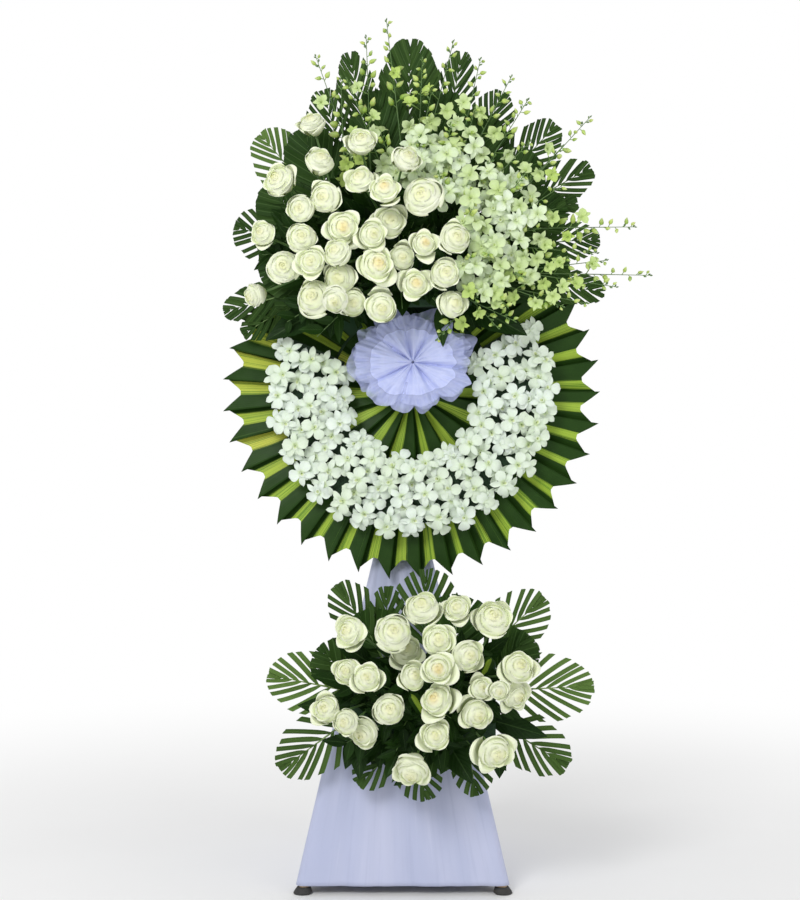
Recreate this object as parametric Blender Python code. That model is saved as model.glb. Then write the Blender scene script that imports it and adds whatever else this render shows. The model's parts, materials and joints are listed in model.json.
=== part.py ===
"""A tall funeral flower stand: a tripod under a cloth skirt carries a round board of striped leaves,
a horseshoe of orchids with a cloth rosette, and two sprays of palm, roses and orchids in foam.

Blender 4.5, metres, +Z up. The front of the stand faces -Y and the mast stands on the Z axis until
the last step, which moves the finished stand so that the middle of its floor box is the origin.
"""

import math
import random

import bmesh
import bpy
from mathutils import Vector

MM = 0.001
GAP = 0.3 * MM

# The front elevation. Places on it are read on the board's plane, as an eye in front sees them.
EYE = Vector((0.0, -4.0, 1.05))
ELEVATION_Y = -0.09

# Tripod, in metres
MAST_RADIUS = 0.0125
MAST_FOOT = 0.800
MAST_TOP = 1.345
LEG_RADIUS = 0.011
LEG_TOP_Z = 0.797
LEG_TOP_OUT = 0.0165
LEG_TOP_BACK = 0.012
FRONT_FOOT = Vector((0.203, -0.175, 0.0))
REAR_FOOT = Vector((0.0, 0.300, 0.0))
SHOE_RADIUS = 0.019
SHOE_HEIGHT = 0.014
COLLAR_LOW = 0.775
COLLAR_HIGH = 0.835
COLLAR_RADIUS = 0.037

# Skirt of thin cloth round the legs
SKIRT_HEM = 0.018
SKIRT_MIDDLE = 0.300
SKIRT_TOP = 0.665
CLOTH = 0.0016
CLOTH_CLEAR = 0.0012
FOLD_DEPTH = 0.0045
SKIRT_BILLOW = 0.009

# Round board with its battens
BOARD_CENTRE = Vector((0.018, 0.0, 1.014))
BOARD_RADIUS = 0.330
BOARD_BACK = -0.058
BOARD_FRONT = -0.078
BOARD_SIDES = 26
BATTEN_HEIGHTS = (0.935, 1.215)
BATTEN_HALF_LENGTH = 0.16
BATTEN_HALF_HEIGHT = 0.016

# Striped leaves, folded and laid round the board like shingles
LEAF_THICK = 0.0014
RIM_LEAVES = 30
RIM_FROM, RIM_TO = math.radians(-232.0), math.radians(58.0)
RIM_CUTS = (0, 10, 20, RIM_LEAVES)
RIM_INNER, RIM_NOTCH, RIM_TIP = 0.172, 0.352, 0.390
HEART_LEAVES = 14
HEART_FROM = math.radians(94.0)
HEART_INNER, HEART_OUTER = 0.030, 0.166
HEART_HIGH_FROM, HEART_HIGH_TO = math.radians(58.0), math.radians(126.0)
LEAF_LOW, LEAF_HIGH = -0.0800, -0.0975

# Horseshoe of orchids
BAND_FROM, BAND_TO = math.radians(-204.0), math.radians(32.0)
PAD_INNER, PAD_OUTER = 0.150, 0.272
PAD_BACK, PAD_FRONT = LEAF_HIGH - GAP, -0.118
BAND_ROWS = (0.160, 0.212, 0.264)
BAND_PITCH = 0.048
BAND_FLORET = 0.0285
BAND_LEVEL, BAND_LEVEL_STEP = 0.012, 0.0075

# Rosette of gathered net
ROSETTE = Vector((0.016, -0.158, 1.078))
ROSETTE_REACH = (0.120, 0.099)
ROSETTE_PLEATS = 11
KNOT = 0.009

# Foam blocks: low corner and high corner
TOP_FOAM = (Vector((-0.160, -0.182, 1.186)), Vector((0.140, BOARD_FRONT - GAP, 1.362)))
LOW_FOAM = (Vector((-0.105, -0.236, 0.315)), Vector((0.185, -0.146, 0.475)))
PEG = 0.0042
PEG_DEPTH = 0.028
PEG_HEAD = 0.006
HUB_OUT = 0.022
HUB_MARGIN = 0.018
HUB_SHARE = 0.62
HOLE_LEAD = 0.014
FIT = 0.0004

# Bracket that carries the lower foam: a rail behind the front legs, an arm through the skirt, a plate
ARM_HEIGHT = 0.395
ARM_HALF_WIDTH = 0.020
ARM_HALF_HEIGHT = 0.010
ARM_CLEAR = 0.001
SLOT_FROM, SLOT_TO = -0.30, -0.06
RAIL_THICK = 0.012
RAIL_HALF_HEIGHT = 0.012
RAIL_SHORT = 0.004
PLATE_THICK = 0.007
PLATE_MARGIN = 0.030
PLATE_HALF_HEIGHT = 0.060
BRACKET_MIDDLE = (LOW_FOAM[0].x + LOW_FOAM[1].x) / 2

# Petal lines of a floret, from one notch: turn from the petal's middle, reach and lift as shares of
# the radius. Blunt petals have two corners, pointed ones one.
BLUNT = ((-math.pi / 5, 0.34, -0.10), (-0.31, 0.93, 0.06), (0.31, 1.0, 0.0))
POINTED = ((-math.pi / 5, 0.46, -0.06), (0.0, 1.0, 0.04))

# Rose stems, and how far a head may move along the line of sight to stand clear
STEM_RADIUS = 0.0026
STEM_SUNK = 0.008
HEAD_SHARE = 0.86
HEAD_CLEAR = 0.001
SETTLING = (0.0, 0.010, -0.010, 0.020, -0.020, 0.030, -0.030, 0.042, -0.042, 0.056, 0.070, 0.085)

# Roses, each: across and up on the front elevation, and diameter, in millimetres
TOP_ROSES = {
    "upper_left": [(-188, 1566, 48), (-172, 1487, 56), (-254, 1448, 64), (-209, 1390, 52), (-159, 1415, 62)],
    "left": [(-288, 1340, 52), (-210, 1330, 58), (-189, 1282, 60), (-246, 1270, 60), (-306, 1213, 48)],
    "lower_left": [(-180, 1205, 68), (-140, 1206, 50), (-104, 1197, 52), (-46, 1188, 60), (-129, 1249, 60)],
    "middle": [(-124, 1354, 68), (-134, 1299, 54), (-64, 1338, 58), (-55, 1275, 74)],
    "upper": [(-86, 1528, 56), (-87, 1451, 60), (-37, 1431, 60), (-26, 1365, 66), (6, 1492, 52)],
    "right": [(42, 1414, 72), (44, 1319, 56), (106, 1330, 60), (-2, 1291, 50)],
    "lower_right": [(26, 1235, 62), (86, 1257, 58), (100, 1194, 56)],
}
LOW_ROSES = {
    "upper": [(40, 563, 66), (112, 566, 54), (72, 498, 64), (130, 468, 60)],
    "upper_left": [(-108, 518, 68), (-22, 512, 70), (8, 477, 66), (20, 424, 54)],
    "upper_right": [(186, 542, 74), (238, 443, 66), (162, 400, 48), (232, 386, 62), (198, 396, 40)],
    "left": [
        (-116, 436, 52),
        (-74, 421, 58),
        (-158, 357, 58),
        (-30, 356, 58),
        (-116, 331, 50),
        (-81, 310, 62),
    ],
    "right": [(72, 442, 62), (71, 375, 68), (151, 348, 66), (190, 268, 76)],
    "lower": [(67, 302, 58), (20, 232, 72)],
}
TOP_DOME = {"middle": (-60, 1340), "reach": (250, 240), "edge": -0.225, "rise": 0.100}
LOW_DOME = {"middle": (50, 400), "reach": (230, 200), "edge": -0.285, "rise": 0.080}

# Palm fronds, each: the foot on the foam (across, up), the tip on the front elevation and the half
# width, in millimetres, the depth of foot and tip in metres, and the pairs of leaflets. Fronds that
# pass each other lie in different layers behind the flowers.
LAYERS = (-0.0975, -0.109, -0.1205, -0.132)
TOP_FRONDS = {
    "top": [((6, 1362), (16, 1748), 84, LAYERS[1], LAYERS[1], 8)],
    "top_left": [((-44, 1362), (-112, 1722), 56, LAYERS[0], LAYERS[0], 7)],
    "top_right": [((56, 1362), (124, 1722), 58, LAYERS[0], LAYERS[0], 7)],
    "upper_left": [((-92, 1362), (-166, 1642), 66, LAYERS[3], LAYERS[3], 5)],
    "upper_right": [((94, 1362), (208, 1638), 66, LAYERS[3], LAYERS[3], 5)],
    "right_high": [
        ((134, 1362), (320, 1570), 66, LAYERS[2], LAYERS[2], 5),
        ((134, 1362), (366, 1404), 40, LAYERS[2], LAYERS[2], 5),
    ],
    "right_upper": [((140, 1336), (394, 1480), 62, LAYERS[1], LAYERS[1], 6)],
    "right": [((140, 1306), (412, 1330), 54, LAYERS[3], LAYERS[3], 6)],
    "right_low": [((140, 1262), (422, 1218), 48, LAYERS[1], LAYERS[1], 6)],
    "left_high": [((-140, 1362), (-298, 1550), 72, LAYERS[2], LAYERS[2], 6)],
    "left": [((-160, 1306), (-352, 1354), 66, LAYERS[1], LAYERS[1], 5)],
    "left_low": [
        ((-160, 1234), (-374, 1178), 46, -0.122, -0.130, 6),
        ((-160, 1234), (-334, 1130), 46, -0.122, -0.120, 5),
    ],
}
LOW_FRONDS = {
    "top_left": [
        ((-30, 475), (-140, 618), 54, -0.170, -0.164, 5),
        ((-30, 475), (-34, 614), 42, -0.170, -0.176, 5),
    ],
    "top": [((52, 475), (46, 650), 72, -0.160, -0.166, 6)],
    "top_right": [((152, 475), (294, 592), 60, -0.160, -0.162, 6)],
    "right": [((185, 410), (398, 406), 68, -0.172, -0.180, 7)],
    "right_low": [((185, 352), (344, 238), 56, -0.190, -0.200, 6)],
    "left": [((-105, 408), (-282, 430), 62, -0.172, -0.182, 7)],
    "left_low": [((-105, 356), (-258, 230), 60, -0.190, -0.196, 6)],
    "foot": [
        ((6, 315), (-96, 200), 46, -0.196, -0.212, 5),
        ((6, 315), (54, 168), 50, -0.196, -0.214, 5),
    ],
    "foot_right": [((128, 315), (152, 176), 40, -0.204, -0.220, 5)],
}
TOP_BARE, LOW_BARE = 0.070, 0.022
FROND_LEAD_IN = 0.024
FROND_HOLE_LEAD = 0.014
FROND_BOW = 0.004
RIB_WIDTH = 0.0056
RIB_THICK = 0.0034
LEAFLET_SAG = 0.0022
LEAFLET_THICK = 0.0012

# Filler leaves out of the foam: how many, how long, and the plane that none of them reaches behind
FILLER_FOLD = 0.006
FILLER_SUNK = 0.016
TOP_FILLER = {"count": 23, "lengths": (0.10, 0.15), "back": -0.142}
LOW_FILLER = {"count": 20, "lengths": (0.08, 0.12), "back": -0.224}
GOLDEN_TURN = math.radians(137.508)

# Florets and buds of the sprays
FLORET_RADIUS = 0.0245
FLORET_STALK = 0.030
BUD_LENGTH = 0.024
BUD_RADIUS = 0.006
SPRAY_PEG_OUT = 0.010
SPRAY_STEM = (0.0028, 0.0012)
SPRAY_STEPS = 6
SPRAY_CLEAR = 0.007

# Orchid sprays, two to a bunch: the foot on the foam and the way out of it, then for each spray its
# middle and tip on the front elevation with their depth, and how many open florets and buds it has.
# Across and up are in millimetres, depth in metres.
SPRAYS = {
    "top_left": (
        (-84, -0.158, 1362),
        (0, 0, 1),
        [
            ((-122, 1590, -0.168), (-180, 1706, -0.172), 2, 3),
            ((-52, 1590, -0.160), (-76, 1746, -0.160), 2, 3),
        ],
    ),
    "top": (
        (6, -0.158, 1362),
        (0, 0, 1),
        [
            ((-6, 1600, -0.165), (-34, 1780, -0.160), 2, 3),
            ((66, 1570, -0.170), (104, 1736, -0.165), 4, 3),
        ],
    ),
    "upper_right": (
        (96, -0.158, 1362),
        (0, 0, 1),
        [
            ((140, 1540, -0.185), (224, 1664, -0.180), 4, 3),
            ((180, 1480, -0.190), (258, 1616, -0.185), 4, 3),
        ],
    ),
    "right_high": (
        (140, -0.158, 1322),
        (1, 0, 0),
        [
            ((262, 1440, -0.200), (386, 1580, -0.180), 4, 3),
            ((290, 1370, -0.215), (478, 1354, -0.200), 4, 4),
        ],
    ),
    "right_low": (
        (140, -0.158, 1252),
        (1, 0, 0),
        [
            ((300, 1262, -0.220), (510, 1254, -0.205), 4, 4),
            ((230, 1218, -0.230), (380, 1196, -0.235), 4, 3),
        ],
    ),
    "drooping": (
        (118, -0.182, 1210),
        (0, -1, 0),
        [
            ((124, 1160, -0.232), (70, 1122, -0.240), 1, 3),
            ((164, 1190, -0.235), (196, 1146, -0.235), 1, 3),
        ],
    ),
}

COLOURS = {
    "petal": ((0.90, 0.91, 0.78, 1), 0.55),
    "orchid": ((0.90, 0.94, 0.86, 1), 0.50),
    "palm": ((0.06, 0.17, 0.045, 1), 0.50),
    "striped_leaf": ((0.10, 0.24, 0.05, 1), 0.42),
    "filler": ((0.03, 0.10, 0.035, 1), 0.45),
    "net": ((0.70, 0.73, 0.92, 1), 0.80),
    "cloth": ((0.70, 0.74, 0.90, 1), 0.85),
    "timber": ((0.55, 0.40, 0.24, 1), 0.60),
    "board": ((0.035, 0.11, 0.04, 1), 0.80),
}


class Shape:
    """The points and triangles of one closed body."""

    def __init__(self):
        self.points = []
        self.faces = []

    def add(self, points):
        first = len(self.points)
        self.points.extend(Vector(p) for p in points)
        return list(range(first, len(self.points)))

    def quad(self, a, b, c, d):
        self.faces += [(a, b, c), (a, c, d)]

    def fan(self, ring, centre):
        for k, corner in enumerate(ring):
            self.faces.append((corner, ring[(k + 1) % len(ring)], centre))

    def cap(self, ring):
        for k in range(1, len(ring) - 1):
            self.faces.append((ring[0], ring[k], ring[k + 1]))

    def stitch(self, low, high, low_turn=0.0, high_turn=0.0):
        """Triangles between two closed rings, whose first points lie at these shares of a turn."""
        i = j = 0
        while i < len(low) or j < len(high):
            next_low = low_turn + (i + 1) / len(low)
            next_high = high_turn + (j + 1) / len(high)
            a, b = low[i % len(low)], high[j % len(high)]
            if j == len(high) or (i < len(low) and next_low <= next_high):
                i += 1
                self.faces.append((a, low[i % len(low)], b))
            else:
                j += 1
                self.faces.append((a, high[j % len(high)], b))


def material(name):
    if name in bpy.data.materials:
        return bpy.data.materials[name]
    colour, roughness = COLOURS[name]
    made = bpy.data.materials.new(name)
    made.use_nodes = True
    shader = made.node_tree.nodes["Principled BSDF"]
    shader.inputs["Base Color"].default_value = colour
    shader.inputs["Roughness"].default_value = roughness
    shader.inputs["Metallic"].default_value = 0.0
    made.diffuse_color = colour
    return made


def object_from(name, shape):
    mesh = bpy.data.meshes.new(name)
    built = bmesh.new()
    corners = [built.verts.new(p) for p in shape.points]
    for face in shape.faces:
        built.faces.new([corners[k] for k in face])
    bmesh.ops.recalc_face_normals(built, faces=built.faces)
    if built.calc_volume(signed=True) < 0:
        bmesh.ops.reverse_faces(built, faces=built.faces)
    built.to_mesh(mesh)
    built.free()
    return bpy.data.objects.new(name, mesh)


def apply_boolean(target, shapes, operation):
    """Joins the shapes to the target, or cuts them from it, in one Boolean on a collection."""
    if not shapes:
        return
    others = bpy.data.collections.new(target.name + "_" + operation.lower())
    for k, shape in enumerate(shapes):
        others.objects.link(object_from(f"{others.name}_{k}", shape))
    modifier = target.modifiers.new("join", "BOOLEAN")
    modifier.operation = operation
    modifier.operand_type = "COLLECTION"
    modifier.collection = others
    modifier.solver = "MANIFOLD"
    joined = bpy.data.meshes.new_from_object(target.evaluated_get(bpy.context.evaluated_depsgraph_get()))
    target.modifiers.remove(modifier)
    target.data = joined
    for other in list(others.objects):
        bpy.data.objects.remove(other)
    bpy.data.collections.remove(others)


def piece(name, shapes, look, smooth_below=None, cut_by=()):
    """One named object from closed shapes that overlap, joined in one body."""
    made = object_from(name, shapes[0])
    bpy.context.scene.collection.objects.link(made)
    apply_boolean(made, shapes[1:], "UNION")
    apply_boolean(made, list(cut_by), "DIFFERENCE")
    made.data.name = name
    made.data.materials.clear()
    made.data.materials.append(material(look))
    if smooth_below is not None:
        made.data.shade_smooth()
        made.data.set_sharp_from_angle(angle=math.radians(smooth_below))
    return made


def placed(across, up, y):
    """The point at depth y that the eye sees at this place of the front elevation, in millimetres."""
    share = (y - EYE.y) / (ELEVATION_Y - EYE.y)
    return Vector((EYE.x + (across * MM - EYE.x) * share, y, EYE.z + (up * MM - EYE.z) * share))


def axes_round(direction, spin=0.0):
    """Two unit vectors square to the direction, turned round it by spin, and the direction."""
    along = direction.normalized()
    side = Vector((0, 0, 1)).cross(along)
    side = Vector((1, 0, 0)) if side.length < 1e-4 else side.normalized()
    up = along.cross(side)
    turned = side * math.cos(spin) + up * math.sin(spin)
    return turned, along.cross(turned), along


def beam(start, end, side, half_side, half_other):
    """A square bar from start to end, with one face square to side."""
    along = (end - start).normalized()
    u = (side - along * side.dot(along)).normalized()
    v = along.cross(u)
    corners = [u * a * half_side + v * b * half_other for a, b in ((1, 1), (-1, 1), (-1, -1), (1, -1))]
    shape = Shape()
    low = shape.add([start + c for c in corners])
    high = shape.add([end + c for c in corners])
    shape.stitch(low, high)
    shape.cap(low)
    shape.cap(high)
    return shape


def round_bar(rings, sides, phase=0.5):
    """A bar through (centre, radius) rings, each square to the Z axis, with flat ends."""
    shape = Shape()
    loops = []
    for centre, radius in rings:
        angles = [2 * math.pi * (k + phase) / sides for k in range(sides)]
        loops.append(shape.add([centre + Vector((math.cos(a), math.sin(a), 0)) * radius for a in angles]))
    for low, high in zip(loops, loops[1:]):
        shape.stitch(low, high)
    shape.cap(loops[0])
    shape.cap(loops[-1])
    return shape


def box(low, high):
    """A box between two corners."""
    middle_low = Vector(((low.x + high.x) / 2, (low.y + high.y) / 2, low.z))
    middle_high = Vector((middle_low.x, middle_low.y, high.z))
    return beam(middle_low, middle_high, Vector((1, 0, 0)), (high.x - low.x) / 2, (high.y - low.y) / 2)


def leg_line(side, z):
    """The middle of a leg at height z: side is -1 or 1 in front and 0 behind."""
    if side == 0:
        return REAR_FOOT.lerp(Vector((0, LEG_TOP_OUT, LEG_TOP_Z)), z / LEG_TOP_Z)
    foot = Vector((FRONT_FOOT.x * side, FRONT_FOOT.y, 0))
    return foot.lerp(Vector((LEG_TOP_OUT * side, -LEG_TOP_BACK, LEG_TOP_Z)), z / LEG_TOP_Z)


def build_tripod():
    mast = [(Vector((0, 0, MAST_FOOT)), MAST_RADIUS), (Vector((0, 0, MAST_TOP)), MAST_RADIUS)]
    piece("mast", [round_bar(mast, 8)], "timber", 40)
    bore = MAST_RADIUS + GAP
    collar = [(Vector((0, 0, COLLAR_LOW)), COLLAR_RADIUS), (Vector((0, 0, COLLAR_HIGH)), COLLAR_RADIUS)]
    cutters = [round_bar([(Vector((0, 0, MAST_FOOT - GAP)), bore), (Vector((0, 0, MAST_TOP)), bore)], 8)]
    for side in (-1, 1, 0):
        hole = [(leg_line(side, z), LEG_RADIUS + GAP) for z in (COLLAR_LOW - 0.05, LEG_TOP_Z + GAP)]
        cutters.append(round_bar(hole, 8))
    piece("collar", [round_bar(collar, 12)], "timber", 40, cut_by=cutters)
    for name, side in (("leg_front_left", -1), ("leg_front_right", 1), ("leg_rear", 0)):
        bar = [(leg_line(side, z), LEG_RADIUS) for z in (SHOE_HEIGHT / 2, LEG_TOP_Z)]
        shoe = [(leg_line(side, 0), SHOE_RADIUS), (leg_line(side, SHOE_HEIGHT), LEG_RADIUS * 1.25)]
        piece(name, [round_bar(bar, 8), round_bar(shoe, 8)], "timber", 40)


def skirt_section(z, out):
    """The cloth's line round the three legs at height z, out metres outside them."""
    reach = LEG_RADIUS + CLOTH_CLEAR + out
    corners = [leg_line(-1, z), leg_line(1, z), leg_line(0, z)]
    line = []
    for k, corner in enumerate(corners):
        before, after = corners[k - 1], corners[(k + 1) % 3]
        turn_in = math.atan2(-(corner - before).x, (corner - before).y)
        turn_out = math.atan2(-(after - corner).x, (after - corner).y)
        while turn_out < turn_in:
            turn_out += 2 * math.pi
        for share in (0.0, 1 / 3, 2 / 3, 1.0):
            angle = turn_in + (turn_out - turn_in) * share
            line.append(corner + Vector((math.cos(angle), math.sin(angle), 0)) * reach)
        outward = Vector((math.cos(turn_out), math.sin(turn_out), 0))
        for step in range(1, 7):
            share = step / 7
            fold = FOLD_DEPTH * (1 if step % 2 else 0.15) * (1.25 - z)
            upward = math.sin(math.pi * min(z / SKIRT_TOP, 1)) ** 0.7
            billow = SKIRT_BILLOW * math.sin(math.pi * share) * upward
            line.append(corner.lerp(after, share) + outward * (reach + fold + billow))
    return line


def build_skirt():
    heights = (SKIRT_HEM, SKIRT_MIDDLE, SKIRT_TOP)
    shape = Shape()
    outer = [shape.add(skirt_section(z, CLOTH)) for z in heights]
    inner = [shape.add(skirt_section(z, 0.0)) for z in heights]
    for low, high in zip(outer, outer[1:]):
        shape.stitch(low, high)
    for low, high in zip(inner, inner[1:]):
        shape.stitch(low, high)
    shape.stitch(outer[0], inner[0])
    shape.stitch(outer[-1], inner[-1])
    half_width, half_height = ARM_HALF_WIDTH + ARM_CLEAR, ARM_HALF_HEIGHT + ARM_CLEAR
    slot = box(
        Vector((BRACKET_MIDDLE - half_width, SLOT_FROM, ARM_HEIGHT - half_height)),
        Vector((BRACKET_MIDDLE + half_width, SLOT_TO, ARM_HEIGHT + half_height)),
    )
    piece("skirt", [shape], "cloth", 50, cut_by=[slot])


def build_bracket():
    leg = leg_line(1, ARM_HEIGHT)
    rail_front = leg_line(1, ARM_HEIGHT + RAIL_HALF_HEIGHT).y + LEG_RADIUS * math.cos(math.pi / 8) + GAP
    plate_back = LOW_FOAM[1].y + GAP + PLATE_THICK
    rail = box(
        Vector((RAIL_SHORT - leg.x, rail_front, ARM_HEIGHT - RAIL_HALF_HEIGHT)),
        Vector((leg.x - RAIL_SHORT, rail_front + RAIL_THICK, ARM_HEIGHT + RAIL_HALF_HEIGHT)),
    )
    arm = box(
        Vector((BRACKET_MIDDLE - ARM_HALF_WIDTH, plate_back - 0.003, ARM_HEIGHT - ARM_HALF_HEIGHT)),
        Vector((BRACKET_MIDDLE + ARM_HALF_WIDTH, rail_front + 0.005, ARM_HEIGHT + ARM_HALF_HEIGHT)),
    )
    plate = box(
        Vector((LOW_FOAM[0].x + PLATE_MARGIN, LOW_FOAM[1].y + GAP, ARM_HEIGHT - PLATE_HALF_HEIGHT)),
        Vector((LOW_FOAM[1].x - PLATE_MARGIN, plate_back, ARM_HEIGHT + PLATE_HALF_HEIGHT)),
    )
    piece("lower_bracket", [rail, arm, plate], "timber")


def build_board():
    angles = [2 * math.pi * k / BOARD_SIDES for k in range(BOARD_SIDES)]
    rim = [Vector((math.cos(a), 0, math.sin(a))) * BOARD_RADIUS + BOARD_CENTRE for a in angles]
    shape = Shape()
    back = shape.add([p + Vector((0, BOARD_BACK, 0)) for p in rim])
    front = shape.add([p + Vector((0, BOARD_FRONT, 0)) for p in rim])
    shape.stitch(back, front)
    shape.cap(back)
    shape.cap(front)
    piece("board", [shape], "board", 40)
    mast_front = -MAST_RADIUS * math.cos(math.pi / 8)
    for name, z in zip(("batten_lower", "batten_upper"), BATTEN_HEIGHTS):
        low = Vector((-BATTEN_HALF_LENGTH, BOARD_BACK + GAP, z - BATTEN_HALF_HEIGHT))
        high = Vector((BATTEN_HALF_LENGTH, mast_front - GAP, z + BATTEN_HALF_HEIGHT))
        piece(name, [box(low, high)], "timber")


def on_board(angle, radius, y):
    return BOARD_CENTRE + Vector((math.cos(angle) * radius, y, math.sin(angle) * radius))


def rim_start(angle):
    """The radius at which a rim leaf starts: further out where the top foam is in its way."""
    low, high = TOP_FOAM
    across, up = math.cos(angle), math.sin(angle)
    if up <= 0:
        return RIM_INNER
    side = abs((high.x if across > 0 else low.x) - BOARD_CENTRE.x) + 0.006
    beside = side / max(abs(across), 1e-6)
    below = (low.z - BOARD_CENTRE.z - 0.006) / up
    return max(RIM_INNER, beside) if beside > below else RIM_INNER


def heart_start(_angle):
    return HEART_INNER


def heart_reach(angle):
    """How much further a leaf of the heart reaches here: up to the top foam, where no band is."""
    if not HEART_HIGH_FROM < angle % (2 * math.pi) < HEART_HIGH_TO:
        return 1.0
    return (TOP_FOAM[0].z - BOARD_CENTRE.z - 0.008) / math.sin(angle) / HEART_OUTER


def rim_reach(_angle):
    return 1.0


def pleated_leaves(angles, start_at, notch, tip, reach_at):
    """Leaves side by side, each folded and lapped over the next, as one thin sheet."""
    pitch = angles[1] - angles[0]
    middle = (LEAF_LOW + LEAF_HIGH) / 2
    profile = ((0.0, LEAF_LOW, (notch + tip) / 2), (0.45, middle, notch), (1.0, LEAF_HIGH, tip))
    step = LEAF_THICK / tip
    shape = Shape()
    columns = []
    for angle in angles[:-1]:
        for share, y, end in profile:
            turn = angle + pitch * share
            start = start_at(turn)
            back_turn = turn - (step if share in (0.0, 1.0) else 0.0)
            columns.append(
                shape.add(
                    [
                        on_board(turn, start, y),
                        on_board(turn, end * reach_at(turn), y),
                        on_board(back_turn, end * reach_at(turn), y + LEAF_THICK),
                        on_board(back_turn, start, y + LEAF_THICK),
                    ]
                )
            )
    for k, (a, b) in enumerate(zip(columns, columns[1:])):
        shape.quad(a[1], a[2], b[2], b[1])
        shape.quad(a[3], a[0], b[0], b[3])
        # front and back are split alike, from the fold's outer end, or they would cross
        if k % len(profile) == 1:
            shape.quad(a[1], b[1], b[0], a[0])
            shape.quad(a[2], b[2], b[3], a[3])
        else:
            shape.quad(a[0], a[1], b[1], b[0])
            shape.quad(a[3], a[2], b[2], b[3])
    shape.cap(columns[0])
    shape.cap(columns[-1])
    return shape


def build_board_leaves():
    each = (RIM_TO - RIM_FROM) / RIM_LEAVES
    angles = [RIM_FROM + each * k for k in range(RIM_LEAVES + 1)]
    gap = GAP / RIM_INNER
    names = ("rim_leaves_left", "rim_leaves_foot", "rim_leaves_right")
    for name, first, last in zip(names, RIM_CUTS, RIM_CUTS[1:]):
        run = [a + gap * (1 if k == first else 0) for k, a in enumerate(angles) if first <= k <= last]
        run[0] += (LEAF_THICK + GAP) / RIM_INNER
        piece(name, [pleated_leaves(run, rim_start, RIM_NOTCH, RIM_TIP, rim_reach)], "striped_leaf", 20)
    turns = [HEART_FROM + 2 * math.pi * k / HEART_LEAVES for k in range(HEART_LEAVES + 1)]
    heart = pleated_leaves(turns, heart_start, HEART_OUTER, HEART_OUTER, heart_reach)
    piece("heart_leaves", [heart], "striped_leaf", 20)


def floret(centre, axis, radius, spin, root, petal_line=BLUNT):
    """An open orchid floret: five petals in a star round a cupped middle, on a stalk that ends at root."""
    u, v, w = axes_round(axis, spin)
    shape = Shape()
    outline = []
    for petal in range(5):
        for turn, reach, lift in petal_line:
            angle = 2 * math.pi * petal / 5 + turn
            out = u * math.cos(angle) + v * math.sin(angle)
            outline.append(centre + (out * reach + w * lift) * radius)
    star = shape.add(outline)
    shape.fan(star, shape.add([centre - w * radius * 0.02])[0])
    neck_turns = [2 * math.pi * (k / 3 - 0.1) for k in range(3)]
    throat = centre - w * radius * 0.3
    neck = shape.add([throat + (u * math.cos(a) + v * math.sin(a)) * radius * 0.13 for a in neck_turns])
    shape.stitch(star, neck, -0.1, -0.1)
    shape.fan(neck, shape.add([root])[0])
    return shape


def band_pad(first, last):
    """A stretch of the foam horseshoe, with a crowned front."""
    steps = max(2, round((last - first) / math.radians(16)))
    section = ((PAD_INNER, PAD_BACK), (PAD_INNER, PAD_FRONT + 0.006), (PAD_INNER + 0.016, PAD_FRONT))
    section += ((PAD_OUTER - 0.016, PAD_FRONT), (PAD_OUTER, PAD_FRONT + 0.006), (PAD_OUTER, PAD_BACK))
    shape = Shape()
    rings = []
    for k in range(steps + 1):
        angle = first + (last - first) * k / steps
        rings.append(shape.add([on_board(angle, r, y) for r, y in section]))
    for a, b in zip(rings, rings[1:]):
        shape.stitch(a, b)
    shape.cap(rings[0])
    shape.cap(rings[-1])
    return shape


def band_florets(first, last, seed):
    """Florets in rows over the pad, at three heights so that their petals pass over each other."""
    rng = random.Random(seed)
    made = []
    for row, radius in enumerate(BAND_ROWS):
        count = round((last - first) * radius / BAND_PITCH)
        for k in range(count):
            angle = first + (last - first) * (k + 0.5) / count
            step = 2 if k == 0 else 0 if k == count - 1 else (k + 2 * row) % 3
            level = BAND_LEVEL + BAND_LEVEL_STEP * step
            centre = on_board(angle, radius + rng.uniform(-0.003, 0.003), PAD_FRONT - level)
            lean = Vector((math.cos(angle), 0, math.sin(angle))) * 0.16 * (row - 1)
            axis = Vector((rng.uniform(-0.08, 0.08), -1, rng.uniform(-0.08, 0.08))) + lean
            root = on_board(angle, min(max(radius, PAD_INNER + 0.018), PAD_OUTER - 0.018), PAD_FRONT + 0.012)
            made.append(floret(centre, axis, BAND_FLORET, rng.uniform(0, 2 * math.pi), root))
    return made


def build_band():
    cuts = [BAND_FROM, math.radians(-128.0), math.radians(-50.0), BAND_TO]
    half_gap = GAP / 2 / PAD_INNER
    for k, name in enumerate(("orchid_band_left", "orchid_band_foot", "orchid_band_right")):
        first, last = cuts[k] + half_gap, cuts[k + 1] - half_gap
        piece(name, [band_pad(first, last)] + band_florets(first, last, 11 + k), "orchid", 20)


def ruffle(centre, reach_across, reach_up, pleats, wave, lift, thick, inner_line):
    """A round of cloth gathered at its middle, its edge in pleats, with or without a line between."""
    count = 2 * pleats
    shape = Shape()

    def line(share, y, swing):
        points = []
        for k in range(count):
            angle = 2 * math.pi * k / count + 0.1
            edge = share * (1 + 0.07 * math.sin(3 * angle + 1) + 0.05 * math.sin(7 * angle))
            depth = y + swing * (1 if k % 2 else -1)
            across, up = math.cos(angle) * reach_across * edge, math.sin(angle) * reach_up * edge
            points.append(centre + Vector((across, depth, up)))
        return points

    edge = [shape.add(line(1.0, y - lift, wave)) for y in (0, thick)]
    shape.stitch(*edge)
    for rim, y, spread in zip(edge, (0, thick), (0, thick * 1.5)):
        if inner_line:
            inner = shape.add(line(0.42, y - 0.35 * lift, wave * 0.45))
            shape.stitch(rim, inner)
            rim = inner
        shape.fan(rim, shape.add([centre + Vector((0, spread, 0))])[0])
    return shape


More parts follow.
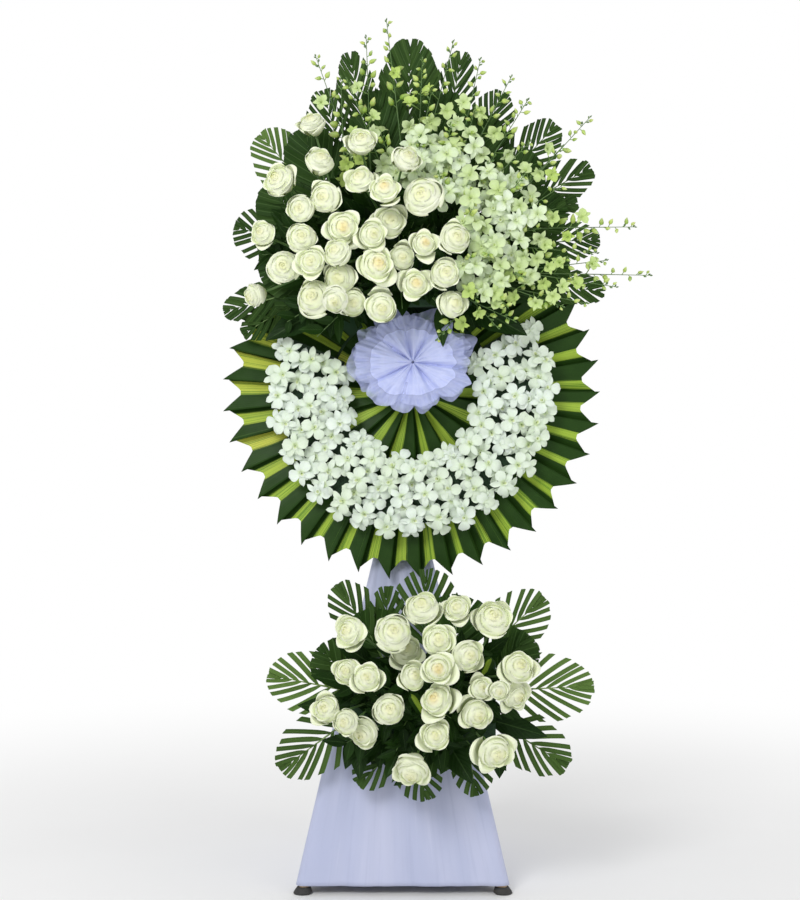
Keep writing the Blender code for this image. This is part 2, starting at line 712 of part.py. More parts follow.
def build_rosette():
    across, up = ROSETTE_REACH
    front_middle = ROSETTE + Vector((0.004, -0.014, -0.008))
    front = ruffle(front_middle, across * 0.82, up * 0.82, ROSETTE_PLEATS, 0.0075, 0.012, 0.0016, True)
    back = ruffle(ROSETTE + Vector((0, 0.004, 0)), across, up, ROSETTE_PLEATS, 0.0065, 0.002, 0.0016, False)
    tied = Vector((ROSETTE.x, LEAF_HIGH - GAP, ROSETTE.z))
    knot = beam(ROSETTE + Vector((0, -0.020, 0)), tied, Vector((1, 0, 0)), KNOT, KNOT)
    piece("rosette", [back, front, knot], "net", 20)


def take_rosette(room):
    """Marks the rosette's place, as bars one above the other, so that no leaf or stem goes there."""
    across, up = ROSETTE_REACH
    for step in range(-3, 4):
        half = across * math.sqrt(1 - (step / 4) ** 2)
        middle = ROSETTE + Vector((0, -0.008, up * step / 3.4))
        room.take("rosette", "stem", middle - Vector((half, 0, 0)), middle + Vector((half, 0, 0)), 0.022)


def closest(a, b, c, d):
    """The least distance between two straight pieces, a to b and c to d."""
    u, v, w = b - a, d - c, a - c
    uu, uv, vv, uw, vw = u.dot(u), u.dot(v), v.dot(v), u.dot(w), v.dot(w)
    square = uu * vv - uv * uv
    s = 0.0 if square < 1e-12 else min(max((uv * vw - vv * uw) / square, 0.0), 1.0)
    t = 0.0 if vv < 1e-12 else min(max((uv * s + vw) / vv, 0.0), 1.0)
    s = 0.0 if uu < 1e-12 else min(max((uv * t - uw) / uu, 0.0), 1.0)
    return (w + u * s - v * t).length


class Room:
    """What already stands in a spray, as straight pieces with a radius, so that the next is put clear."""

    def __init__(self):
        self.taken = []

    def take(self, owner, kind, start, end, radius):
        self.taken.append((owner, kind, start.copy(), end.copy(), radius))

    def gap(self, start, end, radius, owner=None, kinds=("head", "stem")):
        """The least free distance from this piece to what stands there and has another owner."""
        free = 1.0
        for other, kind, a, b, other_radius in self.taken:
            if kind in kinds and other != owner:
                free = min(free, closest(start, end, a, b) - radius - other_radius)
        return free


def rose_on_stem(centre, axis, radius, spin, foot):
    """A rose, three rounds of petals one in the other, on a three-sided stem that ends at foot."""
    u, v, w = axes_round(axis, spin)
    shape = Shape()

    def ring(count, reach, height, first=0.0, between=(1.0, 0.0)):
        points = []
        for k in range(count):
            angle = 2 * math.pi * (k + first) / count
            shrink, drop = between if k % 2 else (1.0, 0.0)
            outward = (u * math.cos(angle) + v * math.sin(angle)) * radius * reach * shrink
            points.append(centre + outward + w * radius * (height - drop))
        return shape.add(points)

    neck = ring(3, 0.13, -0.82)
    outer = ring(10, 1.0, 0.02, between=(0.84, 0.16))
    outer_crease = ring(5, 0.72, 0.10, first=0.5)
    middle = ring(10, 0.70, 0.46, first=1.0, between=(0.86, 0.07))
    middle_crease = ring(5, 0.44, 0.36, first=1.0)
    shape.fan(neck, shape.add([foot])[0])
    shape.stitch(neck, outer)
    shape.stitch(outer, outer_crease, 0.0, 0.1)
    shape.stitch(outer_crease, middle, 0.1, 0.1)
    shape.stitch(middle, middle_crease, 0.1, 0.2)
    shape.fan(middle_crease, shape.add([centre + w * radius * 0.64])[0])
    return shape


def hub_of(roses, foam, dome):
    """Where a group's stems enter the foam's front, and the way in."""
    low, high = foam
    across = sum(r[0] for r in roses) / len(roses)
    up = sum(r[1] for r in roses) / len(roses)
    middle = (low + high) / 2
    out = placed(across, up, dome["edge"] - dome["rise"])
    toward = middle + (out - middle) * HUB_SHARE
    entry = Vector(
        (
            min(max(toward.x, low.x + HUB_MARGIN), high.x - HUB_MARGIN),
            low.y,
            min(max(toward.z, low.z + HUB_MARGIN), high.z - HUB_MARGIN),
        )
    )
    return entry, (Vector((middle.x, high.y + 0.03, middle.z)) - entry).normalized()


def settle_rose(room, owner, rose, hub, dome):
    """The rose's middle, facing and radius, moved in or out along the line of sight until it is clear."""
    across, up, diameter = rose
    radius = diameter * MM / 2
    (middle_x, middle_z), (reach_x, reach_z) = dome["middle"], dome["reach"]
    far = math.hypot((across - middle_x) / reach_x, (up - middle_z) / reach_z)
    depth = dome["edge"] - dome["rise"] * math.sqrt(max(0.0, 1 - far * far))
    best = None
    for step in SETTLING:
        centre = placed(across, up, depth + step)
        facing = ((centre - hub).normalized() * 0.8 + Vector((0, -1, 0))).normalized()
        neck = centre - facing * radius * 0.8
        back, front = centre - facing * radius * 0.2, centre + facing * radius * 0.1
        heads = room.gap(back, front, radius * HEAD_SHARE, None, ("head",))
        stems = room.gap(back, centre, radius * HEAD_SHARE, owner, ("stem",))
        stem = room.gap(neck, hub, STEM_RADIUS, owner)
        free = min(heads, stems, stem)
        if best is None or free > best[0]:
            best = (free, centre, facing)
        if free > HEAD_CLEAR:
            break
    _, centre, facing = best
    back, front = centre - facing * radius * 0.2, centre + facing * radius * 0.1
    room.take(owner, "head", back, front, radius * HEAD_SHARE)
    room.take(owner, "stem", centre - facing * radius * 0.8, hub, STEM_RADIUS)
    return centre, facing, radius


def build_roses(prefix, groups, foam, dome, room, holes, seed):
    rng = random.Random(seed)
    for group, roses in groups.items():
        entry, inward = hub_of(roses, foam, dome)
        hub = entry - inward * HUB_OUT
        side = Vector((1, 0, 0))
        peg_end, hole_end = entry + inward * PEG_DEPTH, entry + inward * (PEG_DEPTH + GAP)
        shapes = [beam(hub - inward * PEG_HEAD, peg_end, side, PEG, PEG)]
        holes.append(beam(entry - inward * HOLE_LEAD, hole_end, side, PEG + FIT, PEG + FIT))
        room.take(group, "stem", hub - inward * PEG_HEAD, peg_end, PEG * math.sqrt(2))
        for rose in roses:
            centre, facing, radius = settle_rose(room, group, rose, hub, dome)
            spin = rng.uniform(0, 2 * math.pi)
            shapes.append(rose_on_stem(centre, facing, radius, spin, hub + inward * STEM_SUNK))
        piece(f"{prefix}_roses_{group}", shapes, "petal", 25)


def frond(foot, tip, half_width, pairs, bare):
    """A palm frond cut to a rounded spade: a rib with leaflets slit down to it, bowed a little forward."""
    along = tip - foot
    length = along.length
    along.normalize()
    forward = Vector((0, -1, 0))
    forward = (forward - along * forward.dot(along)).normalized()
    side = along.cross(forward)
    shape = Shape()
    blade_from = bare / length
    pitch = (1 - blade_from) / (pairs + 0.75)

    def rib(share):
        bow = FROND_BOW * math.sin(math.pi * max(0.0, share - blade_from) / (1 - blade_from))
        width = RIB_WIDTH / 2 * (1 - 0.6 * share)
        middle = foot + along * length * share + forward * bow
        thick = RIB_THICK / 2 * (1 - 0.55 * share)
        corners = ((-width, thick), (width, thick), (width, -thick), (-width, -thick))
        return shape.add([middle + side * a + forward * b for a, b in corners])

    def walls(a, b, sides):
        for k in sides:
            shape.quad(a[k], a[(k + 1) % 4], b[(k + 1) % 4], b[k])

    root = rib(-FROND_LEAD_IN / length)
    shape.cap(root)
    before = rib(blade_from)
    walls(root, before, range(4))
    for pair in range(pairs):
        after = rib(blade_from + pitch * (pair + 1))
        walls(before, after, (0, 2))
        middle = (pair + 0.5) / pairs
        swell = 0.45 + 0.55 * math.sin(math.pi * min(middle * 1.25 + 0.12, 1.0))
        reach = half_width * swell * (1 - 0.6 * middle**3)
        sweep = math.radians(48 - 14 * middle)
        for hand, corners in ((-1, (0, 3)), (1, (1, 2))):
            front, back = corners
            out = side * hand * math.sin(sweep) + along * math.cos(sweep)
            base = (shape.points[after[front]] + shape.points[before[front]]) / 2
            end = base + out * reach / math.sin(sweep)
            spread = (along * 0.33 - side * hand * 0.10) * pitch * length
            sag = forward * -LEAFLET_SAG
            low, high = shape.add([end - spread + sag, end + spread + sag])
            under = shape.add([end + sag - forward * LEAFLET_THICK])[0]
            shape.quad(before[front], after[front], high, low)
            shape.faces.append((before[back], after[back], under))
            shape.quad(before[front], before[back], under, low)
            shape.quad(after[front], after[back], under, high)
            shape.faces.append((low, high, under))
        before = after
    shape.fan(before, shape.add([tip])[0])
    socket_end = foot + along * FROND_HOLE_LEAD
    socket_start = foot - along * (FROND_LEAD_IN + GAP)
    return shape, beam(socket_start, socket_end, side, RIB_WIDTH * 0.55 + FIT, RIB_THICK * 0.55 + FIT)


def build_fronds(prefix, groups, bare, holes):
    for name, fronds in groups.items():
        shapes = []
        for foot, tip, half_width, foot_y, tip_y, pairs in fronds:
            start, end = Vector((foot[0] * MM, foot_y, foot[1] * MM)), placed(*tip, tip_y)
            shape, socket = frond(start, end, half_width * MM, pairs, bare)
            shapes.append(shape)
            holes.append(socket)
        piece(f"{prefix}_frond_{name}", shapes, "palm", 25)


def curve_through(start, middle, end, steps):
    """Points along a bow that leaves start, passes middle and ends at end."""
    handle = middle * 2 - (start + end) / 2
    shares = [k / steps for k in range(steps + 1)]
    return [start * (1 - t) ** 2 + handle * 2 * t * (1 - t) + end * t**2 for t in shares]


def nearest_on(point, start, end):
    line = end - start
    if line.length < 1e-6:
        return start
    return start + line * min(max((point - start).dot(line) / line.dot(line), 0.0), 1.0)


def bend_clear(points, room, owner, margin):
    """Pushes a stem's points away from what stands too near, and evens them out again."""
    points = [p.copy() for p in points]
    for _ in range(40):
        for k in range(1, len(points)):
            for other, _kind, start, end, radius in room.taken:
                away = points[k] - nearest_on(points[k], start, end)
                short = radius + margin - away.length
                if other != owner and short > 0 and away.length > 1e-6:
                    points[k] += away.normalized() * short * 0.6
        for k in range(2, len(points) - 1):
            points[k] = points[k] * 0.7 + (points[k - 1] + points[k + 1]) * 0.15
    return points


def spray_stem(points, thick, thin):
    """A three-sided stem through the points, from thick to thin."""
    shape = Shape()
    rings = []
    last = len(points) - 1
    side = axes_round(points[1] - points[0])[0]
    turns = [2 * math.pi * j / 3 for j in range(3)]
    for k, point in enumerate(points):
        ahead = (points[min(k + 1, last)] - points[max(k - 1, 0)]).normalized()
        side = (side - ahead * side.dot(ahead)).normalized()
        up = ahead.cross(side)
        radius = thick + (thin - thick) * k / last
        rings.append(shape.add([point + (side * math.cos(a) + up * math.sin(a)) * radius for a in turns]))
    for a, b in zip(rings, rings[1:]):
        shape.stitch(a, b)
    shape.cap(rings[0])
    shape.cap(rings[-1])
    return shape


def bud(root, axis, length, radius):
    """A closed bud: two four-sided points, base to base."""
    u, v, w = axes_round(axis)
    shape = Shape()
    corners = ((1, 0), (0, 1), (-1, 0), (0, -1))
    waist = shape.add([root + w * length * 0.55 + (u * a + v * b) * radius for a, b in corners])
    shape.fan(waist, shape.add([root])[0])
    shape.fan(waist, shape.add([root + w * length])[0])
    return shape


def along_curve(points, share):
    at = share * (len(points) - 1)
    k = min(int(at), len(points) - 2)
    return points[k].lerp(points[k + 1], at - k), (points[k + 1] - points[k]).normalized()


def dress_spray(points, florets, buds, room, owner, rng):
    """Open florets on the lower stretch and buds to the tip, each turned round the stem until clear."""
    front = Vector((0, -1, 0))
    made = []
    for k in range(florets + buds):
        is_open = k < florets
        share = 0.40 + 0.26 * k / max(florets - 1, 1)
        if not is_open:
            share = 0.70 + 0.28 * (k - florets) / max(buds - 1, 1)
        point, ahead = along_curve(points, share)
        across = ahead.cross(front).normalized()
        for attempt in range(12):
            turn = math.pi * (k % 2) + rng.uniform(-0.5, 0.5) + attempt * 0.9
            out = across * math.cos(turn) * 0.8 + front * (0.75 + 0.3 * math.sin(turn)) + ahead * 0.35
            out.normalize()
            end = point + out * (FLORET_STALK if is_open else BUD_LENGTH)
            if is_open:
                free = room.gap(end, end, FLORET_RADIUS * 0.76, None, ("head",))
                free = min(free, room.gap(end, end, FLORET_RADIUS * 0.5, owner, ("stem",)))
                free = min(free, room.gap(point, end, 0.004, owner))
            else:
                free = room.gap(point + out * BUD_RADIUS, end, BUD_RADIUS, owner)
            if free > 0:
                break
        if free <= 0:
            continue
        if is_open:
            axis = (out * 0.6 + Vector((0, -1, 0.1))).normalized()
            root = point - out * 0.002
            made.append(floret(end, axis, FLORET_RADIUS, rng.uniform(0, 2 * math.pi), root, POINTED))
            room.take(owner, "head", end, end, FLORET_RADIUS * 0.7)
        else:
            made.append(bud(point, out, BUD_LENGTH, BUD_RADIUS))
            room.take(owner, "head", point + out * BUD_RADIUS, end, BUD_RADIUS)
    return made


def build_sprays(room, holes, seed):
    """Bunches of sprays that rise together from one hole of the foam."""
    rng = random.Random(seed)
    for group, (foot, normal, sprays) in SPRAYS.items():
        root = Vector((foot[0] * MM, foot[1], foot[2] * MM))
        out = Vector(normal)
        side = out.cross(Vector((0, 1, 0))).normalized() if abs(out.y) < 0.9 else Vector((1, 0, 0))
        peg_out = root + out * SPRAY_PEG_OUT
        shapes = [beam(root - out * PEG_DEPTH, peg_out, side, PEG, PEG)]
        holes.append(beam(root - out * (PEG_DEPTH + GAP), root + out * 0.004, side, PEG + FIT, PEG + FIT))
        room.take(group, "stem", root, peg_out, PEG)
        for middle, tip, florets, buds in sprays:
            start, mid, end = root + out * 0.006, placed(*middle), placed(*tip)
            line = curve_through(start, mid, end, SPRAY_STEPS)
            points = bend_clear(line, room, group, SPRAY_CLEAR)
            for a, b in zip(points, points[1:]):
                room.take(group, "stem", a, b, 0.0025)
            shapes.append(spray_stem(points, *SPRAY_STEM))
            shapes += dress_spray(points, florets, buds, room, group, rng)
        piece(f"spray_{group}", shapes, "orchid", 20)


def filler_leaf(root, out, across, length, half_width):
    """A broad pointed leaf with a crease down its middle, from a root point sunk in the foam."""
    lift = out.cross(across).normalized()
    wide, tip = root + out * length * 0.52, root + out * length
    shape = Shape()
    ends = shape.add([root, tip])
    edge = across * half_width
    fold = lift * FILLER_FOLD
    front = shape.add([wide - edge + fold, wide, wide + edge + fold])
    back = shape.add([shape.points[k] - lift * LEAF_THICK for k in front])
    for k in (0, 1):
        for end in ends:
            shape.faces.append((front[k], front[k + 1], end))
            shape.faces.append((back[k], back[k + 1], end))
    for k in (0, 2):
        for end in ends:
            shape.faces.append((front[k], back[k], end))
    return shape


def leaf_is_clear(spots, across, back, room):
    """Whether a leaf, given as spots down its middle with half widths, stands clear of all else."""
    for middle, half in spots:
        left, right = middle - across * half, middle + across * half
        if max(left.y, right.y) > back or room.gap(left, right, 0.008) < 0.002:
            return False
    return True


def build_foam(name, foam, filler, room, holes, seed):
    """The foam block with its filler leaves grown out of it, clear of every stem, and its plain holes."""
    rng = random.Random(seed)
    low, high = foam
    middle, half = (low + high) / 2, (high - low) / 2
    shapes = [box(low, high)]
    for number in range(1, 4000):
        if len(shapes) > filler["count"]:
            break
        turn = number * GOLDEN_TURN
        ahead = (0.12, 0.55, 1.1)[number % 3] + rng.uniform(-0.1, 0.2)
        out = Vector((math.cos(turn), -ahead, math.sin(turn))).normalized()
        root = middle + out * min(abs(half[k] / out[k]) for k in range(3) if abs(out[k]) > 1e-6)
        length = rng.uniform(*filler["lengths"]) / (1 + 0.35 * ahead)
        half_width = length * rng.uniform(0.23, 0.29)
        across = out.cross(Vector((0, -1, 0))).normalized() + Vector((0, rng.uniform(-0.5, 0.5), 0))
        across = (across - out * across.dot(out)).normalized()
        shares = ((0.0, 0.0), (0.15, 0.3), (0.38, 0.75), (0.56, 0.9), (0.78, 0.5), (1.0, 0.0))
        spots = [(root + out * length * share, half_width * width) for share, width in shares]
        if not leaf_is_clear(spots, across, filler["back"], room):
            continue
        sunk = root - out * FILLER_SUNK
        shapes.append(filler_leaf(sunk, out, across, length + FILLER_SUNK, half_width))
        for spot, width in spots:
            room.take(f"leaf{number}", "stem", spot - across * width, spot + across * width, 0.005)
    piece(name, shapes, "filler", 25, cut_by=holes)


def centre_on_origin():
    """Moves the stand so that the middle of the floor under its box is the origin."""
    made = [o for o in bpy.context.scene.objects if o.type == "MESH"]
    points = [v.co for o in made for v in o.data.vertices]
    low = Vector(min(p[k] for p in points) for k in range(3))
    high = Vector(max(p[k] for p in points) for k in range(3))
    shift = Vector((-(low.x + high.x) / 2, -(low.y + high.y) / 2, -low.z))
    for o in made:
        for v in o.data.vertices:
            v.co += shift


def main():
    for old in list(bpy.data.objects):
        bpy.data.objects.remove(old)
    build_tripod()
    build_skirt()
    build_bracket()
    build_board()
    build_board_leaves()
    build_band()
    build_rosette()
    room, holes = Room(), []
    take_rosette(room)
    build_roses("top", TOP_ROSES, TOP_FOAM, TOP_DOME, room, holes, 3)
    build_sprays(room, holes, 5)
    build_fronds("top", TOP_FRONDS, TOP_BARE, holes)
    build_foam("top_foam", TOP_FOAM, TOP_FILLER, room, holes, 8)
    room, holes = Room(), []
    build_roses("lower", LOW_ROSES, LOW_FOAM, LOW_DOME, room, holes, 4)
    build_fronds("lower", LOW_FRONDS, LOW_BARE, holes)
    build_foam("lower_foam", LOW_FOAM, LOW_FILLER, room, holes, 9)
    centre_on_origin()


main()
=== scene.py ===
"""Looks of the funeral flower stand: finer petals, leaves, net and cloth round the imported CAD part.

Lengths are in metres. Points are worked out in the stand's own frame, with the mast on the Z axis and
the front towards -Y, and are moved to the row frame when a piece's mesh is made. Roses, sprays, fronds
and filler leaves repeat the part's own rules and seeds, so each finer piece stands where its node is.
"""

import json
import math
import random
from functools import partial

import bmesh
import bpy
import numpy as np
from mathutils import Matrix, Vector

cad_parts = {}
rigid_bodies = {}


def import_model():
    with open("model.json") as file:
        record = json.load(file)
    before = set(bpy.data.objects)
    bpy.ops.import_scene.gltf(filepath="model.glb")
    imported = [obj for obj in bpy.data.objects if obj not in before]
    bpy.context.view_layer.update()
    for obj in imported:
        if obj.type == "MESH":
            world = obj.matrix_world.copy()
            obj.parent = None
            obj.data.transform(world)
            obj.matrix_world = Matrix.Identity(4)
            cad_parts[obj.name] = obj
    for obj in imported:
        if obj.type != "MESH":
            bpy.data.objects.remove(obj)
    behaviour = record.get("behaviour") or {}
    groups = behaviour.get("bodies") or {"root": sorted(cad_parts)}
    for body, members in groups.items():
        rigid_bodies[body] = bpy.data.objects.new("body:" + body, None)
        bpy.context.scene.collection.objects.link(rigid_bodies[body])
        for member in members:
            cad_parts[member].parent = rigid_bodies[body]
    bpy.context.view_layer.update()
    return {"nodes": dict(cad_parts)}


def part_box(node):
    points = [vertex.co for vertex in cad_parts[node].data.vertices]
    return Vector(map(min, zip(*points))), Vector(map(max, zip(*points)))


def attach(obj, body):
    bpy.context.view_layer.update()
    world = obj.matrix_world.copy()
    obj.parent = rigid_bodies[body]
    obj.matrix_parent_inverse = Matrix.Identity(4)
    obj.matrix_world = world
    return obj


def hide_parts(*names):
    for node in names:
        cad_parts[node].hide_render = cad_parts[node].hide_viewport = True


for old in list(bpy.data.objects):
    bpy.data.objects.remove(old)
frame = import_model()

MM = 0.001
GAP = 0.3 * MM
FULL_TURN = 2 * math.pi
FRONT = Vector((0, -1, 0))
EYE = Vector((0.0, -4.0, 1.05))
ELEVATION_Y = -0.09

# Picture: the height that it shows at the front elevation, and its middle there
PICTURE_HEIGHT = 1.86
PICTURE_MIDDLE = (-0.006, 0.893)
SKY_LIGHT = 0.62
# Lamps, each: name, place, size and power
LAMPS = (
    ("key", (-1.5, -3.4, 2.9), 1.6, 74.0),
    ("fill", (2.6, -2.6, 1.8), 2.6, 16.0),
    ("back", (0.6, 3.0, 2.8), 2.4, 24.0),
)
LAMPS_AIM = Vector((0, 0, 0.95))
FLOOR_REACH = 20
FLOOR_FADE = (0.4, 2.4)

# Tripod
MAST_RADIUS = 0.0125
MAST_FOOT = 0.800
MAST_TOP = 1.345
LEG_RADIUS = 0.011
LEG_TOP_Z = 0.797
LEG_TOP_OUT = 0.0165
LEG_TOP_BACK = 0.012
FRONT_FOOT = Vector((0.203, -0.175, 0.0))
REAR_FOOT = Vector((0.0, 0.300, 0.0))
SHOE_RADIUS = 0.019
SHOE_HEIGHT = 0.014
COLLAR_LOW = 0.775
COLLAR_HIGH = 0.835
COLLAR_RADIUS = 0.037
BATTEN_HEIGHTS = (0.935, 1.215)
# Radius of eased edges, and of the point at which a turned profile starts
EASED, COLLAR_EASED = 0.0015, 0.004
POINT = 0.0004
# Screws: their turns round the collar or places along a batten, and radius and height of a head
COLLAR_SCREWS = (0.5, 2.6, 4.7)
COLLAR_SCREW_HEIGHT = 0.812
COLLAR_SCREW = (0.0042, 0.0015)
BATTEN_SCREWS = (-0.145, -0.10, -0.035, 0.035, 0.10, 0.145)
BATTEN_SCREW = (0.0038, 0.0012)
SCREW_SIDES = 20

# Skirt
SKIRT_HEM = 0.018
SKIRT_TOP = 0.665
CLOTH = 0.0006
CLOTH_CLEAR = 0.0012
FOLD_DEPTH = 0.0045
SKIRT_BILLOW = 0.009
ARM_HEIGHT = 0.395
ARM_HALF_WIDTH = 0.020
ARM_HALF_HEIGHT = 0.010
HOLE_CLEAR = 0.003
SKIRT_COLUMNS = 216
SKIRT_ROWS = 64
# The flat cloth that it is cut from, and its area when cut narrower towards the top
SKIRT_CUT = (1.52, 0.68)

# Board and the leaves on it
BOARD_CENTRE = Vector((0.018, 0.0, 1.014))
BOARD_RADIUS = 0.330
BOARD_BACK = -0.058
BOARD_FRONT = -0.078
BOARD_SIDES = 160
BOARD_EASED = 0.003
BOARD_POINT = 0.0003
BOARD_CRINKLE = 0.0005
RIM_LEAVES = 30
RIM_FROM, RIM_TO = math.radians(-232.0), math.radians(58.0)
RIM_RUNS = {"rim_leaves_left": (0, 10), "rim_leaves_foot": (10, 20), "rim_leaves_right": (20, RIM_LEAVES)}
RIM_INNER, RIM_NOTCH, RIM_TIP = 0.172, 0.352, 0.390
HEART_LEAVES = 14
HEART_FROM = math.radians(94.0)
HEART_INNER, HEART_OUTER = 0.030, 0.166
HEART_HIGH_FROM, HEART_HIGH_TO = math.radians(58.0), math.radians(126.0)
LEAF_LOW, LEAF_HIGH = -0.0800, -0.0975

# Horseshoe of orchids
BAND_FROM, BAND_TO = math.radians(-204.0), math.radians(32.0)
BAND_CUTS = (BAND_FROM, math.radians(-128.0), math.radians(-50.0), BAND_TO)
PAD_INNER, PAD_OUTER = 0.150, 0.272
PAD_BACK, PAD_FRONT = LEAF_HIGH - GAP, -0.118
BAND_ROWS = (0.160, 0.212, 0.264)
BAND_PITCH = 0.048
BAND_FLORET = 0.0285
BAND_LEVEL, BAND_LEVEL_STEP = 0.012, 0.0075
MORE_BAND_ROWS = (0.145, 0.187, 0.237, 0.278)
MORE_BAND_LOOSER = 1.12
MORE_BAND_LEVEL, MORE_BAND_LEVEL_STEP = 0.010, 0.004
# Turn, length, half width, how far out the widest place is and how blunt the ends are, of each petal
FLORET_PETALS = (
    (0.0, 1.00, 0.23, 1.10, 0.62),
    (2 * math.pi / 5, 0.98, 0.42, 1.35, 0.55),
    (4 * math.pi / 5, 0.98, 0.23, 1.10, 0.62),
    (6 * math.pi / 5, 0.98, 0.23, 1.10, 0.62),
    (8 * math.pi / 5, 0.98, 0.42, 1.35, 0.55),
    (math.pi, 0.66, 0.20, 1.10, 0.60),
)

# Rosette
ROSETTE = Vector((0.016, -0.158, 1.078))
ROSETTE_REACH = (0.120, 0.099)
ROSETTE_BAR = 0.022
BAND_END_BAR = 0.016
NET_ROWS = 20
NET_COLUMNS = 288
# Each layer of net: name, place from the rosette's middle, reach across and up, number of puffs, seed,
# how far it bulges, how deep its waves are, how crumpled its edge is, and the flat oval it is cut from
NET_LAYERS = (
    ("rosette_back", (0, 0.006, 0.004), (0.128, 0.107), 8, 61, 0.004, 0.0085, 2.2, (0.29, 0.24)),
    ("rosette_middle", (0.003, -0.002, -0.002), (0.119, 0.097), 9, 62, 0.009, 0.0078, 1.8, (0.27, 0.22)),
    ("rosette_front", (0.004, -0.009, -0.004), (0.117, 0.092), 7, 67, 0.016, 0.0105, 2.0, (0.26, 0.21)),
)
# The tie through the rosette's middle: depth and radius at each step
TIE = (
    (-0.013, 0.0006),
    (-0.012, 0.0022),
    (-0.010, 0.0034),
    (-0.008, 0.0040),
    (-0.004, 0.0045),
    (0.004, 0.0048),
    (0.020, 0.0052),
    (0.040, 0.0060),
    (0.0595, 0.0065),
)

# Foam blocks and what is pushed into them
TOP_FOAM = (Vector((-0.160, -0.182, 1.186)), Vector((0.140, BOARD_FRONT - GAP, 1.362)))
LOW_FOAM = (Vector((-0.105, -0.236, 0.315)), Vector((0.185, -0.146, 0.475)))
FOAM_EASED = 0.0035
FOAM_CLEAR = 0.006
PEG = 0.0042
PEG_DEPTH = 0.028
PEG_HEAD = 0.006
HUB_OUT = 0.022
HUB_MARGIN = 0.018
HUB_SHARE = 0.62
BRACKET_MIDDLE = (LOW_FOAM[0].x + LOW_FOAM[1].x) / 2
GOLDEN_TURN = math.radians(137.508)

# Roses, their stems, and how far a head may move along the line of sight to stand clear
ROSE_PETALS = 16
STEM_RADIUS = 0.0026
HEAD_SHARE = 0.86
HEAD_CLEAR = 0.001
NECK, HEAD_BACK, HEAD_FRONT = 0.8, 0.2, 0.1
SETTLING = (0.0, 0.010, -0.010, 0.020, -0.020, 0.030, -0.030, 0.042, -0.042, 0.056, 0.070, 0.085)

# Roses, each: across and up on the front elevation, and diameter, in millimetres
TOP_ROSES = {
    "upper_left": [(-188, 1566, 48), (-172, 1487, 56), (-254, 1448, 64), (-209, 1390, 52), (-159, 1415, 62)],
    "left": [(-288, 1340, 52), (-210, 1330, 58), (-189, 1282, 60), (-246, 1270, 60), (-306, 1213, 48)],
    "lower_left": [(-180, 1205, 68), (-140, 1206, 50), (-104, 1197, 52), (-46, 1188, 60), (-129, 1249, 60)],
    "middle": [(-124, 1354, 68), (-134, 1299, 54), (-64, 1338, 58), (-55, 1275, 74)],
    "upper": [(-86, 1528, 56), (-87, 1451, 60), (-37, 1431, 60), (-26, 1365, 66), (6, 1492, 52)],
    "right": [(42, 1414, 72), (44, 1319, 56), (106, 1330, 60), (-2, 1291, 50)],
    "lower_right": [(26, 1235, 62), (86, 1257, 58), (100, 1194, 56)],
}
LOW_ROSES = {
    "upper": [(40, 563, 66), (112, 566, 54), (72, 498, 64), (130, 468, 60)],
    "upper_left": [(-108, 518, 68), (-22, 512, 70), (8, 477, 66), (20, 424, 54)],
    "upper_right": [(186, 542, 74), (238, 443, 66), (162, 400, 48), (232, 386, 62), (198, 396, 40)],
    "left": [
        (-116, 436, 52),
        (-74, 421, 58),
        (-158, 357, 58),
        (-30, 356, 58),
        (-116, 331, 50),
        (-81, 310, 62),
    ],
    "right": [(72, 442, 62), (71, 375, 68), (151, 348, 66), (190, 268, 76)],
    "lower": [(67, 302, 58), (20, 232, 72)],
}
TOP_DOME = {"middle": (-60, 1340), "reach": (250, 240), "edge": -0.225, "rise": 0.100}
LOW_DOME = {"middle": (50, 400), "reach": (230, 200), "edge": -0.285, "rise": 0.080}
WARM_ROSES = {(-55, 1275), (26, 1235), (-37, 1431), (44, 1319), (71, 375), (-124, 1354), (72, 442)}

# Palm fronds, each: the foot on the foam (across, up), the tip on the front elevation and the half
# width, in millimetres, and the depth of foot and tip in metres
LAYERS = (-0.0975, -0.109, -0.1205, -0.132)
TOP_FRONDS = {
    "top": [((6, 1362), (16, 1748), 84, LAYERS[1])],
    "top_left": [((-44, 1362), (-112, 1722), 56, LAYERS[0])],
    "top_right": [((56, 1362), (124, 1722), 58, LAYERS[0])],
    "upper_left": [((-92, 1362), (-166, 1642), 66, LAYERS[3])],
    "upper_right": [((94, 1362), (208, 1638), 66, LAYERS[3])],
    "right_high": [
        ((134, 1362), (320, 1570), 66, LAYERS[2]),
        ((134, 1362), (366, 1404), 40, LAYERS[2]),
    ],
    "right_upper": [((140, 1336), (394, 1480), 62, LAYERS[1])],
    "right": [((140, 1306), (412, 1330), 54, LAYERS[3])],
    "right_low": [((140, 1262), (422, 1218), 48, LAYERS[1])],
    "left_high": [((-140, 1362), (-298, 1550), 72, LAYERS[2])],
    "left": [((-160, 1306), (-352, 1354), 66, LAYERS[1])],
    "left_low": [
        ((-160, 1234), (-374, 1178), 46, -0.122, -0.130),
        ((-160, 1234), (-334, 1130), 46, -0.122, -0.120),
    ],
}
